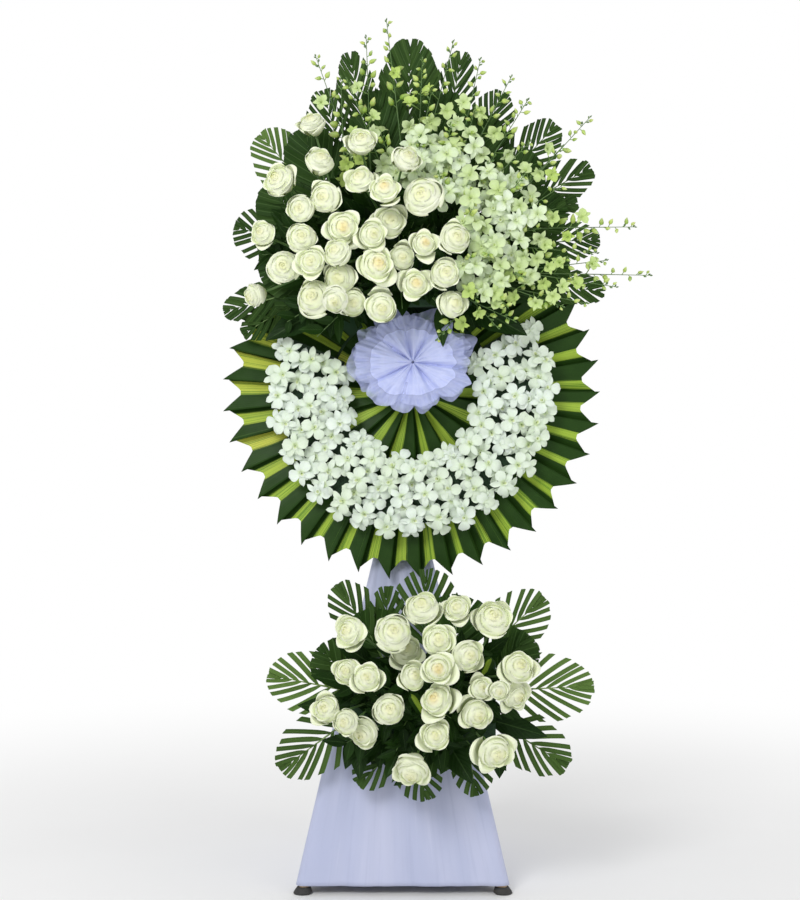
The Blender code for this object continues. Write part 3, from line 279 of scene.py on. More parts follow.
LOW_FRONDS = {
    "top_left": [
        ((-30, 475), (-140, 618), 54, -0.170, -0.164),
        ((-30, 475), (-34, 614), 42, -0.170, -0.176),
    ],
    "top": [((52, 475), (46, 650), 72, -0.160, -0.166)],
    "top_right": [((152, 475), (294, 592), 60, -0.160, -0.162)],
    "right": [((185, 410), (398, 406), 68, -0.172, -0.180)],
    "right_low": [((185, 352), (344, 238), 56, -0.190, -0.200)],
    "left": [((-105, 408), (-282, 430), 62, -0.172, -0.182)],
    "left_low": [((-105, 356), (-258, 230), 60, -0.190, -0.196)],
    "foot": [
        ((6, 315), (-96, 200), 46, -0.196, -0.212),
        ((6, 315), (54, 168), 50, -0.196, -0.214),
    ],
    "foot_right": [((128, 315), (152, 176), 40, -0.204, -0.220)],
}
FROND_LEAD_IN = 0.024
FROND_BOW = 0.004
FROND_SWEEP = 46
BACKING_BARE = 0.010
BACKING_FILL = 1.5
# How closely the leaflets of some fronds fill the outline
DENSE_FRONDS = {"top_top": 1.30, "lower_top": 0.95, "top_right_low": 0.9, "top_left_low": 0.9}
# Fronds beyond the part's own, behind the flowers
MORE_FRONDS = {
    "top": [
        ((-20, 1362), (-58, 1640), 92, -0.143, -0.140),
        ((70, 1362), (84, 1640), 92, -0.146, -0.142),
        ((-120, 1362), (-214, 1560), 84, -0.149, -0.146),
        ((120, 1362), (176, 1590), 84, -0.143, -0.150),
        ((-160, 1330), (-290, 1440), 84, -0.143, -0.146),
        ((-160, 1270), (-300, 1280), 84, -0.149, -0.150),
        ((-160, 1220), (-262, 1180), 64, -0.140, -0.146),
        ((134, 1362), (280, 1500), 84, -0.149, -0.150),
        ((140, 1330), (340, 1400), 84, -0.144, -0.146),
        ((140, 1260), (348, 1280), 84, -0.150),
    ],
    "lower": [
        ((-40, 475), (-92, 560), 62, -0.188, -0.192),
        ((100, 475), (118, 596), 72, -0.184, -0.188),
        ((185, 450), (262, 512), 60, -0.188, -0.196),
        ((-105, 440), (-176, 486), 56, -0.190, -0.198),
        ((60, 315), (96, 232), 60, -0.206, -0.216),
    ],
}
# How fresh the green of some fronds is, from 0 to 1
FRESH_FRONDS = {
    "top_backing": 0.0,
    "top_left_high": 0.8,
    "lower_backing": 0.04,
    "lower_left": 0.9,
    "lower_right": 0.85,
    "lower_top_right": 0.5,
    "lower_left_low": 0.35,
    "lower_right_low": 0.35,
}

# Filler leaves out of the foam
TOP_FILLER = {"count": 23, "lengths": (0.10, 0.15), "back": -0.142}
LOW_FILLER = {"count": 20, "lengths": (0.08, 0.12), "back": -0.224}
LEAF_TRIES = 4000
LEAF_THICK, LEAF_ROOM, LEAF_CLEAR = 0.005, 0.008, 0.002
LEAF_AHEAD = (0.12, 0.55, 1.1)
# Shares of a leaf's length, and how wide it is there
LEAF_SPOTS = ((0.0, 0.0), (0.15, 0.3), (0.38, 0.75), (0.56, 0.9), (0.78, 0.5), (1.0, 0.0))
# Small leaves that cover a block's front and fringe its foot, and leafy twigs out of it
TOP_TWIGS = {
    "cover": 90,
    "fringe": 46,
    "count": 60,
    "reach": (1.0, 0.85),
    "ahead": (0.25, 0.55, 1.0),
    "lengths": (0.08, 0.14),
}
LOW_TWIGS = {
    "cover": 60,
    "fringe": 22,
    "count": 32,
    "reach": (1.0, 0.80),
    "ahead": (0.40, 0.70, 1.1),
    "lengths": (0.045, 0.070),
}
TWIG_CLEAR = 0.001
# How far in front of the rosette and the horseshoe's ends no small leaf may hang
FRONT_STEPS = (0.0, -0.05, -0.10)
# The long leaf that hangs in front of the rosette
ROSETTE_LEAF = {
    "root": (0.076, -0.178, 1.190),
    "out": (0.06, -0.26, -1.0),
    "length": 0.088,
    "half_width": 0.0185,
}

# Striped strap leaves in the lower bouquet, each: root and tip on the front elevation, in millimetres
LOW_STRAPS = [((62, 318), (14, 396)), ((150, 398), (184, 470))]
STRAP_HALF_WIDTH = 0.0125

# Orchid sprays: each bunch's foot on the foam and the way out of it, then for each spray its middle and
# tip on the front elevation, and its open florets and buds. Across and up are in millimetres, and the
# depth between them in metres for a foot and after them for a spray.
FLORET_RADIUS = 0.0245
FLORET_STALK = 0.030
BUD_LENGTH = 0.024
BUD_RADIUS = 0.006
MORE_BUDS = 11
SPRAY_STEPS = 6
SPRAY_CLEAR = 0.007
SPRAY_STEM = 0.0025
SPRAY_HEAD = 0.010
STALK_RADIUS = 0.004
BEND_ROUNDS = 40
FLORET_TRIES = 12
# Shares of a spray's length over which its open florets and its buds stand
FLORETS_FROM, FLORETS_OVER = 0.40, 0.26
BUDS_FROM, BUDS_OVER = 0.70, 0.28
# Where the sprays' florets are fully open and white: middle across and up, and reach, in metres
WHITE_MIDDLE = (0.090, 1.380)
WHITE_REACH = 0.130
WHITE_FADE = 0.09
SPRAY_FEET = {
    "top_left": ((-84, -0.158, 1362), (0, 0, 1)),
    "top": ((6, -0.158, 1362), (0, 0, 1)),
    "upper_right": ((96, -0.158, 1362), (0, 0, 1)),
    "right_high": ((140, -0.158, 1322), (1, 0, 0)),
    "right_low": ((140, -0.158, 1252), (1, 0, 0)),
    "drooping": ((118, -0.182, 1210), (0, -1, 0)),
}
SPRAYS = {
    "top_left": [
        ((-122, 1590, -0.168), (-180, 1706, -0.172), 2, 3),
        ((-52, 1590, -0.160), (-76, 1746, -0.160), 2, 3),
    ],
    "top": [
        ((-6, 1600, -0.165), (-34, 1780, -0.160), 2, 3),
        ((66, 1570, -0.170), (104, 1736, -0.165), 4, 3),
    ],
    "upper_right": [
        ((140, 1540, -0.185), (224, 1664, -0.180), 4, 3),
        ((180, 1480, -0.190), (258, 1616, -0.185), 4, 3),
    ],
    "right_high": [
        ((262, 1440, -0.200), (386, 1580, -0.180), 4, 3),
        ((290, 1370, -0.215), (478, 1354, -0.200), 4, 4),
    ],
    "right_low": [
        ((300, 1262, -0.220), (510, 1254, -0.205), 4, 4),
        ((230, 1218, -0.230), (380, 1196, -0.235), 4, 3),
    ],
    "drooping": [
        ((124, 1160, -0.232), (70, 1122, -0.240), 1, 3),
        ((164, 1190, -0.235), (196, 1146, -0.235), 1, 3),
    ],
}
# Sprays beyond the part's own, from the same feet, and how much closer their florets may stand
MORE_SNUG = 0.68
MORE_SPRAYS = {
    "top_left": [
        ((-150, 1540, -0.17), (-128, 1662, -0.168), 1, 5),
        ((-96, 1450, -0.205), (-116, 1530, -0.210), 5, 0),
    ],
    "top": [
        ((30, 1480, -0.200), (60, 1640, -0.190), 7, 4),
        ((-10, 1450, -0.215), (-46, 1550, -0.215), 7, 0),
        ((20, 1450, -0.215), (36, 1540, -0.220), 7, 0),
        ((-60, 1500, -0.190), (-110, 1650, -0.185), 4, 6),
        ((50, 1560, -0.185), (40, 1700, -0.175), 3, 6),
    ],
    "upper_right": [
        ((100, 1450, -0.215), (150, 1600, -0.200), 7, 4),
        ((150, 1400, -0.230), (262, 1530, -0.205), 7, 4),
        ((70, 1440, -0.220), (98, 1566, -0.210), 7, 2),
        ((110, 1400, -0.235), (190, 1500, -0.220), 8, 2),
        ((86, 1420, -0.200), (120, 1530, -0.190), 7, 2),
        ((100, 1400, -0.255), (74, 1466, -0.275), 7, 0),
        ((112, 1390, -0.250), (156, 1430, -0.275), 7, 0),
        ((120, 1560, -0.190), (160, 1700, -0.180), 3, 6),
    ],
    "right_high": [
        ((200, 1350, -0.235), (330, 1440, -0.210), 7, 4),
        ((190, 1310, -0.245), (400, 1300, -0.210), 7, 5),
        ((160, 1360, -0.250), (250, 1460, -0.235), 7, 2),
        ((230, 1420, -0.215), (330, 1520, -0.200), 4, 5),
        ((180, 1390, -0.240), (300, 1390, -0.225), 7, 2),
        ((170, 1330, -0.225), (280, 1350, -0.215), 8, 2),
        ((152, 1340, -0.250), (138, 1390, -0.285), 7, 0),
        ((165, 1330, -0.250), (176, 1296, -0.290), 7, 0),
        ((200, 1400, -0.215), (280, 1470, -0.205), 7, 2),
    ],
    "right_low": [
        ((190, 1240, -0.250), (330, 1190, -0.235), 6, 5),
        ((200, 1280, -0.250), (440, 1230, -0.210), 6, 6),
        ((150, 1290, -0.260), (250, 1250, -0.255), 7, 1),
        ((190, 1260, -0.225), (300, 1225, -0.215), 8, 2),
        ((152, 1250, -0.250), (138, 1296, -0.290), 7, 0),
        ((160, 1240, -0.250), (150, 1200, -0.280), 7, 0),
        ((172, 1240, -0.245), (216, 1190, -0.270), 7, 0),
        ((210, 1300, -0.230), (340, 1290, -0.215), 8, 2),
        ((220, 1260, -0.240), (420, 1285, -0.215), 5, 6),
    ],
    "drooping": [((140, 1200, -0.260), (230, 1160, -0.245), 4, 4)],
}

# Seeds of the draws. Those for the places of roses, leaves, sprays and band are part.py's own.
SEEDS = {
    "sprays": 5,
    "band": 11,
    "board": 21,
    "board_leaves": 31,
    "band_florets": 41,
    "spray_florets": 51,
    "more_sprays": 77,
    "straps": 91,
}
# The two bouquets. A frond's cut is how wide it is, how far out its rib ends, how its last leaflets
# stand off the rib, in degrees, and the leaflets' pitch and half width.
TOP = {
    "name": "top",
    "foam": TOP_FOAM,
    "roses": TOP_ROSES,
    "dome": TOP_DOME,
    "fronds": TOP_FRONDS,
    "cut": (0.92, 0.88, 18, 0.0190, 0.0050),
    "bare": 0.070,
    "green": 0.10,
    "filler": TOP_FILLER,
    "twigs": TOP_TWIGS,
    "seeds": {"roses": 3, "leaves": 8, "petals": 71, "fronds": 72, "foam": 73},
}
LOWER = {
    "name": "lower",
    "foam": LOW_FOAM,
    "roses": LOW_ROSES,
    "dome": LOW_DOME,
    "fronds": LOW_FRONDS,
    "cut": (1.08, 0.79, 9, 0.0200, 0.0054),
    "bare": 0.022,
    "green": 0.22,
    "filler": LOW_FILLER,
    "twigs": LOW_TWIGS,
    "seeds": {"roses": 4, "leaves": 9, "petals": 81, "fronds": 82, "foam": 83},
}

# Part of every petal's look
PETAL = {"Subsurface_Radius": (0.9, 1.0, 0.7), "Specular_IOR_Level": 0.25}
# Looks of one even grain: roughness, scale and detail of the grain, dark and light colour, strength and
# height of the relief, and for some the span of roughness, and metal
GRAINED = {
    "rose_sepal": (0.50, (220.0, 3.0), (0.10, 0.24, 0.05), (0.26, 0.42, 0.10), (0.3, 0.0004)),
    "screw_steel": (0.35, (900.0, 3.0), (0.42, 0.42, 0.43), (0.62, 0.62, 0.62), None, (0.25, 0.5), 1.0),
    "shoe_rubber": (0.75, (140.0, 4.0), (0.020, 0.020, 0.022), (0.060, 0.058, 0.055), (0.25, 0.0004)),
    "board_paper": (
        0.55,
        (45.0, 6.0, 0.65),
        (0.016, 0.060, 0.022),
        (0.040, 0.125, 0.045),
        (0.5, 0.002),
        (0.42, 0.70),
    ),
}


def stand_axis():
    low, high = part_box("mast")
    return np.array(((low.x + high.x) / 2, (low.y + high.y) / 2, 0.0))


SHIFT = stand_axis()


# Meshes


def grid(rows, cols, v=(0.0, 1.0), u=(-1.0, 1.0)):
    """Two arrays, rows by one and one by cols, for the ways along and across a sheet."""
    return np.linspace(*v, rows)[:, None], np.linspace(*u, cols)[None, :]


def full_turn(count):
    """One row of angles right round, without the last, which is the first again."""
    return np.linspace(0, FULL_TURN, count, endpoint=False)[None, :]


def round_grid(rows, sides):
    """The ways along and round a closed sheet."""
    return np.linspace(0.0, 1.0, rows)[:, None], full_turn(sides)


def stack(*parts):
    return np.stack(np.broadcast_arrays(*parts), axis=-1)


def ring(turn, radius, height):
    return stack(np.cos(turn) * radius, np.sin(turn) * radius, height)


def unit(v):
    return v / np.maximum(np.linalg.norm(v, axis=-1, keepdims=True), 1e-12)


def array(vectors):
    return np.array([tuple(v) for v in vectors])


def run_lengths(points):
    """How far along the line each of its points is."""
    return np.concatenate([[0], np.cumsum(np.linalg.norm(np.diff(points, axis=0), axis=1))])


class Build:
    """Sheets of points for one piece, each with coordinates for its material, a tone and a look."""

    def __init__(self):
        self.parts = []
        self.size = 0

    def sheets(self, points, flow, tone=0.5, look=0, closed=False):
        """Adds sheets of rows by columns of points; closed joins the last column to the first."""
        points = np.asarray(points, float)
        rows, cols = points.shape[-3:-1]
        flow = np.broadcast_to(flow, points.shape).reshape(-1, 3)
        tones = np.broadcast_to(np.asarray(tone, float), points.shape[:-1]).reshape(-1)
        points = points.reshape(-1, 3)
        index = np.arange(len(points)).reshape(-1, rows, cols) + self.size
        if closed:
            index = np.concatenate([index, index[:, :, :1]], axis=2)
        corners = [index[:, :-1, :-1], index[:, :-1, 1:], index[:, 1:, 1:], index[:, 1:, :-1]]
        quads = np.stack(corners, axis=-1).reshape(-1, 4)
        self.parts.append((points, flow, tones, quads, np.full(len(quads), look)))
        self.size += len(points)

    def tube(self, points, radii, sides=6, look=0, tone=0.5):
        """A round stem along the points, with its ends drawn in to a point."""
        points = np.asarray(points, float)
        radii = np.broadcast_to(radii, len(points)).astype(float)
        points = np.concatenate([points[:1], points, points[-1:]])
        radii = np.concatenate([radii[:1] * 0.05, radii, radii[-1:] * 0.05])
        ahead = unit(np.gradient(points[1:-1], axis=0))
        ahead = np.concatenate([ahead[:1], ahead, ahead[-1:]])
        side = np.cross(ahead[0], (0.31, 0.52, 0.79))
        turns = full_turn(sides).T
        rings = []
        for point, way, radius in zip(points, ahead, radii):
            side = unit(side - way * side.dot(way))
            rings.append(point + radius * (np.cos(turns) * side + np.sin(turns) * np.cross(way, side)))
        flow = stack(turns.T / FULL_TURN, run_lengths(points)[:, None], 0.0)
        self.sheets(np.array(rings), flow, tone, look, closed=True)

    def piece(self, name, looks, nodes=()):
        """The object made of the sheets; it rides on the root body and stands for the nodes."""
        points, flow, tones, quads, look = (np.concatenate(p) for p in zip(*self.parts))
        mesh = bpy.data.meshes.new(name)
        mesh.vertices.add(len(points))
        mesh.vertices.foreach_set("co", (points + SHIFT).ravel())
        mesh.loops.add(quads.size)
        mesh.loops.foreach_set("vertex_index", quads.ravel())
        mesh.polygons.add(len(quads))
        mesh.polygons.foreach_set("loop_start", np.arange(0, quads.size, 4))
        for made in looks:
            mesh.materials.append(made)
        mesh.update(calc_edges=True)
        mesh.polygons.foreach_set("material_index", look)
        mesh.shade_smooth()
        mesh.attributes.new("flow", "FLOAT_VECTOR", "POINT").data.foreach_set("vector", flow.ravel())
        mesh.attributes.new("tone", "FLOAT", "POINT").data.foreach_set("value", tones)
        return dressed(add_object(name, mesh), nodes)


def dressed(made, nodes):
    """The piece on the root body, in place of the nodes."""
    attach(made, "root")
    if nodes:
        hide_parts(*nodes)
    return made


def set_in(local, centre, axes, scale):
    """Points given along three axes, in the stand's frame."""
    return np.array(centre) + scale * (local @ array(axes))


# Places, by the part's own rules


def placed(across, up, y):
    """The point at depth y that the eye sees at this place of the front elevation, in millimetres."""
    share = (y - EYE.y) / (ELEVATION_Y - EYE.y)
    return Vector((EYE.x + (across * MM - EYE.x) * share, y, EYE.z + (up * MM - EYE.z) * share))


def axes_round(direction, spin=0.0):
    """Two unit vectors square to the direction, turned round it by spin, and the direction."""
    along = direction.normalized()
    side = Vector((0, 0, 1)).cross(along)
    side = Vector((1, 0, 0)) if side.length < 1e-4 else side.normalized()
    up = along.cross(side)
    turned = side * math.cos(spin) + up * math.sin(spin)
    return turned, along.cross(turned), along


def closest(a, b, c, d):
    """The least distance between two straight pieces, a to b and c to d."""
    u, v, w = b - a, d - c, a - c
    uu, uv, vv, uw, vw = u.dot(u), u.dot(v), v.dot(v), u.dot(w), v.dot(w)
    square = uu * vv - uv * uv
    s = 0.0 if square < 1e-12 else clamp((uv * vw - vv * uw) / square, 0.0, 1.0)
    t = 0.0 if vv < 1e-12 else clamp((uv * s + vw) / vv, 0.0, 1.0)
    s = 0.0 if uu < 1e-12 else clamp((uv * t - uw) / uu, 0.0, 1.0)
    return (w + u * s - v * t).length


class Room:
    """What already stands in a spray, as straight pieces with a radius, so that the next is put clear."""

    def __init__(self):
        self.taken = []

    def take(self, owner, kind, start, end, radius):
        self.taken.append((owner, kind, start.copy(), end.copy(), radius))

    def gap(self, start, end, radius, owner=None, kinds=("head", "stem")):
        """The least free distance from this piece to what stands there and has another owner."""
        free = 1.0
        for other, kind, a, b, other_radius in self.taken:
            if kind in kinds and other != owner:
                free = min(free, closest(start, end, a, b) - radius - other_radius)
        return free


def take_rosette(room, kind="stem"):
    """Marks the rosette's place, as bars one above the other, so that no leaf or stem goes there."""
    across, up = ROSETTE_REACH
    for step in range(-3, 4):
        half = across * math.sqrt(1 - (step / 4) ** 2)
        middle = ROSETTE + Vector((0, -0.008, up * step / 3.4))
        room.take("rosette", kind, middle - Vector((half, 0, 0)), middle + Vector((half, 0, 0)), ROSETTE_BAR)


def take_band_ends(room):
    """Marks the horseshoe's upper ends in the same way."""
    for end, way in ((BAND_FROM, 1), (BAND_TO, -1)):
        for k in range(7):
            turn = end + way * math.radians(5.0 * k)
            ends = [Vector(on_board(turn, radius, PAD_FRONT - 0.03)) for radius in (PAD_INNER, PAD_OUTER)]
            room.take("band", "net", *ends, BAND_END_BAR)


def keep_front_clear(room):
    """Marks the rosette and the horseshoe's ends again, and the air before them, for small leaves."""
    front = Room()
    take_rosette(front, "net")
    take_band_ends(front)
    for step in FRONT_STEPS:
        ahead = Vector((0, step, 0))
        for owner, kind, start, end, radius in front.taken:
            room.take(owner, kind, start + ahead, end + ahead, radius)


def clamp(value, low, high):
    return min(max(value, low), high)


def on_block(foam, out):
    """Where the way out of a foam block's middle leaves it."""
    low, high = foam
    half = (high - low) / 2
    return (low + high) / 2 + out * min(abs(half[k] / out[k]) for k in range(3) if abs(out[k]) > 1e-6)


def square_to(out, across):
    return (across - out * across.dot(out)).normalized()


def hub_of(roses, foam, dome):
    """Where a group's stems enter the foam's front, and the way in."""
    low, high = foam
    across = sum(r[0] for r in roses) / len(roses)
    up = sum(r[1] for r in roses) / len(roses)
    middle = (low + high) / 2
    out = placed(across, up, dome["edge"] - dome["rise"])
    toward = middle + (out - middle) * HUB_SHARE
    across = clamp(toward.x, low.x + HUB_MARGIN, high.x - HUB_MARGIN)
    entry = Vector((across, low.y, clamp(toward.z, low.z + HUB_MARGIN, high.z - HUB_MARGIN)))
    return entry, (Vector((middle.x, high.y + 0.03, middle.z)) - entry).normalized()


def settle_rose(room, owner, rose, hub, dome):
    """The rose's middle, facing and radius, moved in or out along the line of sight until it is clear."""
    across, up, diameter = rose
    radius = diameter * MM / 2
    (middle_x, middle_z), (reach_x, reach_z) = dome["middle"], dome["reach"]
    far = math.hypot((across - middle_x) / reach_x, (up - middle_z) / reach_z)
    depth = dome["edge"] - dome["rise"] * math.sqrt(max(0.0, 1 - far * far))
    best = None
    for step in SETTLING:
        centre = placed(across, up, depth + step)
        facing = ((centre - hub).normalized() * 0.8 + FRONT).normalized()
        neck = centre - facing * radius * NECK
        back, front = centre - facing * radius * HEAD_BACK, centre + facing * radius * HEAD_FRONT
        heads = room.gap(back, front, radius * HEAD_SHARE, None, ("head",))
        stems = room.gap(back, centre, radius * HEAD_SHARE, owner, ("stem",))
        stem = room.gap(neck, hub, STEM_RADIUS, owner)
        free = min(heads, stems, stem)
        if best is None or free > best[0]:
            best = (free, centre, facing)
        if free > HEAD_CLEAR:
            break
    _, centre, facing = best
    back, front = centre - facing * radius * HEAD_BACK, centre + facing * radius * HEAD_FRONT
    room.take(owner, "head", back, front, radius * HEAD_SHARE)
    room.take(owner, "stem", centre - facing * radius * NECK, hub, STEM_RADIUS)
    return centre, facing, radius


def rose_places(bouquet, room):
    """For each group its name, hub and way in, and its roses' middle, facing, radius, turn and warmth."""
    rng = random.Random(bouquet["seeds"]["roses"])
    places = []
    for group, roses in bouquet["roses"].items():
        entry, inward = hub_of(roses, bouquet["foam"], bouquet["dome"])
        hub = entry - inward * HUB_OUT
        peg_end = entry + inward * PEG_DEPTH
        room.take(group, "stem", hub - inward * PEG_HEAD, peg_end, PEG * math.sqrt(2))
        heads = []
        for rose in roses:
            settled = settle_rose(room, group, rose, hub, bouquet["dome"])
            heads.append((*settled, rng.uniform(0, FULL_TURN), rose[:2] in WARM_ROSES))
        places.append((group, hub, inward, heads))
    return places


def curve_through(start, middle, end, steps):
    """Points along a bow that leaves start, passes middle and ends at end."""
    handle = middle * 2 - (start + end) / 2
    shares = [k / steps for k in range(steps + 1)]
    return [start * (1 - t) ** 2 + handle * 2 * t * (1 - t) + end * t**2 for t in shares]


def nearest_on(point, start, end):
    line = end - start
    if line.length < 1e-6:
        return start
    return start + line * clamp((point - start).dot(line) / line.dot(line), 0.0, 1.0)


def bend_clear(points, room, owner, margin):
    """Pushes a stem's points away from what stands too near, and evens them out again."""
    points = [p.copy() for p in points]
    for _ in range(BEND_ROUNDS):
        for k in range(1, len(points)):
            for other, _, start, end, radius in room.taken:
                away = points[k] - nearest_on(points[k], start, end)
                short = radius + margin - away.length
                if other != owner and short > 0 and away.length > 1e-6:
                    points[k] += away.normalized() * short * 0.6
        for k in range(2, len(points) - 1):
            points[k] = points[k] * 0.7 + (points[k - 1] + points[k + 1]) * 0.15
    return points


def along_curve(points, share):
    at = share * (len(points) - 1)
    k = min(int(at), len(points) - 2)
    return points[k].lerp(points[k + 1], at - k), (points[k + 1] - points[k]).normalized()


def dress_spray(points, florets, buds, room, owner, rng, snug=1.0):
    """Places of open florets and of buds along a spray, each turned round the stem until clear."""
    open_ones, closed_ones = [], []
    for k in range(florets + buds):
        is_open = k < florets
        share = FLORETS_FROM + FLORETS_OVER * k / max(florets - 1, 1)
        if not is_open:
            share = BUDS_FROM + BUDS_OVER * (k - florets) / max(buds - 1, 1)
        point, ahead = along_curve(points, share)
        across = ahead.cross(FRONT).normalized()
        for attempt in range(FLORET_TRIES):
            turn = math.pi * (k % 2) + rng.uniform(-0.5, 0.5) + attempt * 0.9
            out = across * math.cos(turn) * 0.8 + FRONT * (0.75 + 0.3 * math.sin(turn)) + ahead * 0.35
            out.normalize()
            end = point + out * (FLORET_STALK if is_open else BUD_LENGTH)
            if is_open:
                free = room.gap(end, end, FLORET_RADIUS * 0.76 * snug, None, ("head",))
                free = min(free, room.gap(end, end, FLORET_RADIUS * 0.5 * snug, owner, ("stem",)))
                free = min(free, room.gap(point, end, STALK_RADIUS, owner))
            else:
                free = room.gap(point + out * BUD_RADIUS, end, BUD_RADIUS, owner)
            if free > 0:
                break
        if free <= 0:
            continue
        if is_open:
            axis = (out * 0.6 + Vector((0, -1, 0.1))).normalized()
            open_ones.append((end, axis, rng.uniform(0, FULL_TURN), point))
            room.take(owner, "head", end, end, FLORET_RADIUS * 0.7 * snug)
        else:
            closed_ones.append((point, out, BUD_LENGTH * (1.0 - 0.35 * (share - BUDS_FROM) / BUDS_OVER)))
            room.take(owner, "head", point + out * BUD_RADIUS, end, BUD_RADIUS)
    return open_ones, closed_ones


def spray_places(room):
    """For each bunch its root and way out, and for each spray its line, florets and buds."""
    rng = random.Random(SEEDS["sprays"])
    bunches = {}
    for group, ((across, depth, up), normal) in SPRAY_FEET.items():
        root, out = Vector((across * MM, depth, up * MM)), Vector(normal)
        room.take(group, "stem", root, root + out * SPRAY_HEAD, PEG)
        lines = [grow_spray(room, group, root, out, spray, rng) for spray in SPRAYS[group]]
        bunches[group] = (root, out, lines)
    return bunches


def add_sprays(bunches, room):
    """More sprays on the same bunches, grown after all that the part has."""
    rng = random.Random(SEEDS["more_sprays"])
    for group, sprays in MORE_SPRAYS.items():
        root, out, lines = bunches[group]
        lines += [grow_spray(room, group, root, out, spray, rng, MORE_SNUG) for spray in sprays]


def grow_spray(room, group, root, out, spray, rng, snug=1.0):
    """A spray's points, bent clear of what stands there, and the places of its florets and buds."""
    middle, tip, florets, buds = spray
    line = curve_through(root + out * 0.006, placed(*middle), placed(*tip), SPRAY_STEPS)
    points = bend_clear(line, room, group, SPRAY_CLEAR)
    for a, b in zip(points, points[1:]):
        room.take(group, "stem", a, b, SPRAY_STEM)
    return points, *dress_spray(points, florets, buds, room, group, rng, snug)


def leaf_is_clear(spots, across, back, room):
    """Whether a leaf, given as spots down its middle with half widths, stands clear of all else."""
    for middle, half in spots:
        left, right = middle - across * half, middle + across * half
        if max(left.y, right.y) > back or room.gap(left, right, LEAF_ROOM) < LEAF_CLEAR:
            return False
    return True


def leaf_places(bouquet, room):
    """Root, way out, way across, length and half width of each filler leaf."""
    rng = random.Random(bouquet["seeds"]["leaves"])
    filler = bouquet["filler"]
    places = []
    for number in range(1, LEAF_TRIES):
        if len(places) >= filler["count"]:
            break
        turn = number * GOLDEN_TURN
        ahead = LEAF_AHEAD[number % 3] + rng.uniform(-0.1, 0.2)
        out = Vector((math.cos(turn), -ahead, math.sin(turn))).normalized()
        root = on_block(bouquet["foam"], out)
        length = rng.uniform(*filler["lengths"]) / (1 + 0.35 * ahead)
        half_width = length * rng.uniform(0.23, 0.29)
        across = out.cross(FRONT).normalized() + Vector((0, rng.uniform(-0.5, 0.5), 0))
        across = square_to(out, across)
        spots = [(root + out * length * share, half_width * width) for share, width in LEAF_SPOTS]
        if not leaf_is_clear(spots, across, filler["back"], room):
            continue
        places.append((root, out, across, length, half_width))
        for spot, width in spots:
            room.take(f"leaf{number}", "stem", spot - across * width, spot + across * width, LEAF_THICK)
    return places


# Materials


class Look:
    """A node material under construction, with its Principled shader."""

    def __init__(self, name, roughness, **fixed):
        self.material = bpy.data.materials.new(name)
        self.material.use_nodes = True
        self.nodes = self.material.node_tree.nodes
        self.shader = self.nodes["Principled BSDF"]
        self.shader.inputs["Roughness"].default_value = roughness
        for key, value in fixed.items():
            self.shader.inputs[key.replace("_", " ")].default_value = value

    def feed(self, socket, value):
        if isinstance(value, bpy.types.NodeSocket):
            self.material.node_tree.links.new(value, socket)
        elif isinstance(value, tuple) and len(value) == 3 and socket.type == "RGBA":
            socket.default_value = (*value, 1.0)
        else:
            socket.default_value = value

    def node(self, kind, inputs, **settings):
        made = self.nodes.new("ShaderNode" + kind)
        for key, value in settings.items():
            setattr(made, key, value)
        for key, value in inputs.items():
            self.feed(made.inputs[key], value)
        return made

    def flow(self, part=None):
        """The piece's own coordinates, or one of them."""
        vector = self.node("Attribute", {}, attribute_name="flow").outputs["Vector"]
        if part is None:
            return vector
        return self.node("SeparateXYZ", {0: vector}).outputs[part]

    def tone(self):
        return self.node("Attribute", {}, attribute_name="tone").outputs["Fac"]

    def place(self):
        return self.node("TexCoord", {}).outputs["Object"]

    def math(self, operation, a, b=0.0, c=0.0):
        return self.node("Math", {0: a, 1: b, 2: c}, operation=operation).outputs[0]

    def scaled(self, vector, scale):
        return self.node("Mapping", {"Vector": vector, "Scale": scale}).outputs[0]

    def waves(self, value, count):
        return self.math("SINE", self.math("MULTIPLY", value, count))

    def noise(self, vector, scale, detail=2.0, roughness=0.5):
        inputs = {"Vector": vector, "Scale": scale, "Detail": detail, "Roughness": roughness}
        return self.node("TexNoise", inputs).outputs["Fac"]

    def streaks(self, scale, detail=2.0, roughness=0.5):
        """Noise drawn out along the piece's own coordinates."""
        return self.noise(self.scaled(self.flow(), scale), 1.0, detail, roughness)

    def step(self, value, low, high):
        """A smooth step from 0 at low to 1 at high."""
        inputs = {"Value": value, "From Min": low, "From Max": high}
        return self.node("MapRange", inputs, interpolation_type="SMOOTHSTEP").outputs[0]

    def mix(self, share, a, b):
        made = self.nodes.new("ShaderNodeMix")
        made.data_type = "RGBA"
        self.feed(made.inputs[0], share)
        self.feed(made.inputs[6], a)
        self.feed(made.inputs[7], b)
        return made.outputs[2]

    def over(self, base, colour, amount, value, *limits):
        """The base with a colour laid over it, by a value or by a smooth step of it between limits."""
        share = self.step(value, *limits) if limits else value
        return self.mix(self.math("MULTIPLY", share, amount), base, colour)

    def colour(self, value):
        self.feed(self.shader.inputs["Base Color"], value)
        return self

    def roughness(self, value, low, high):
        inputs = {"Value": value, "To Min": low, "To Max": high}
        self.feed(self.shader.inputs["Roughness"], self.node("MapRange", inputs).outputs[0])
        return self

    def bump(self, height, strength, distance):
        inputs = {"Height": height, "Strength": strength, "Distance": distance}
        self.feed(self.shader.inputs["Normal"], self.node("Bump", inputs).outputs[0])
        return self


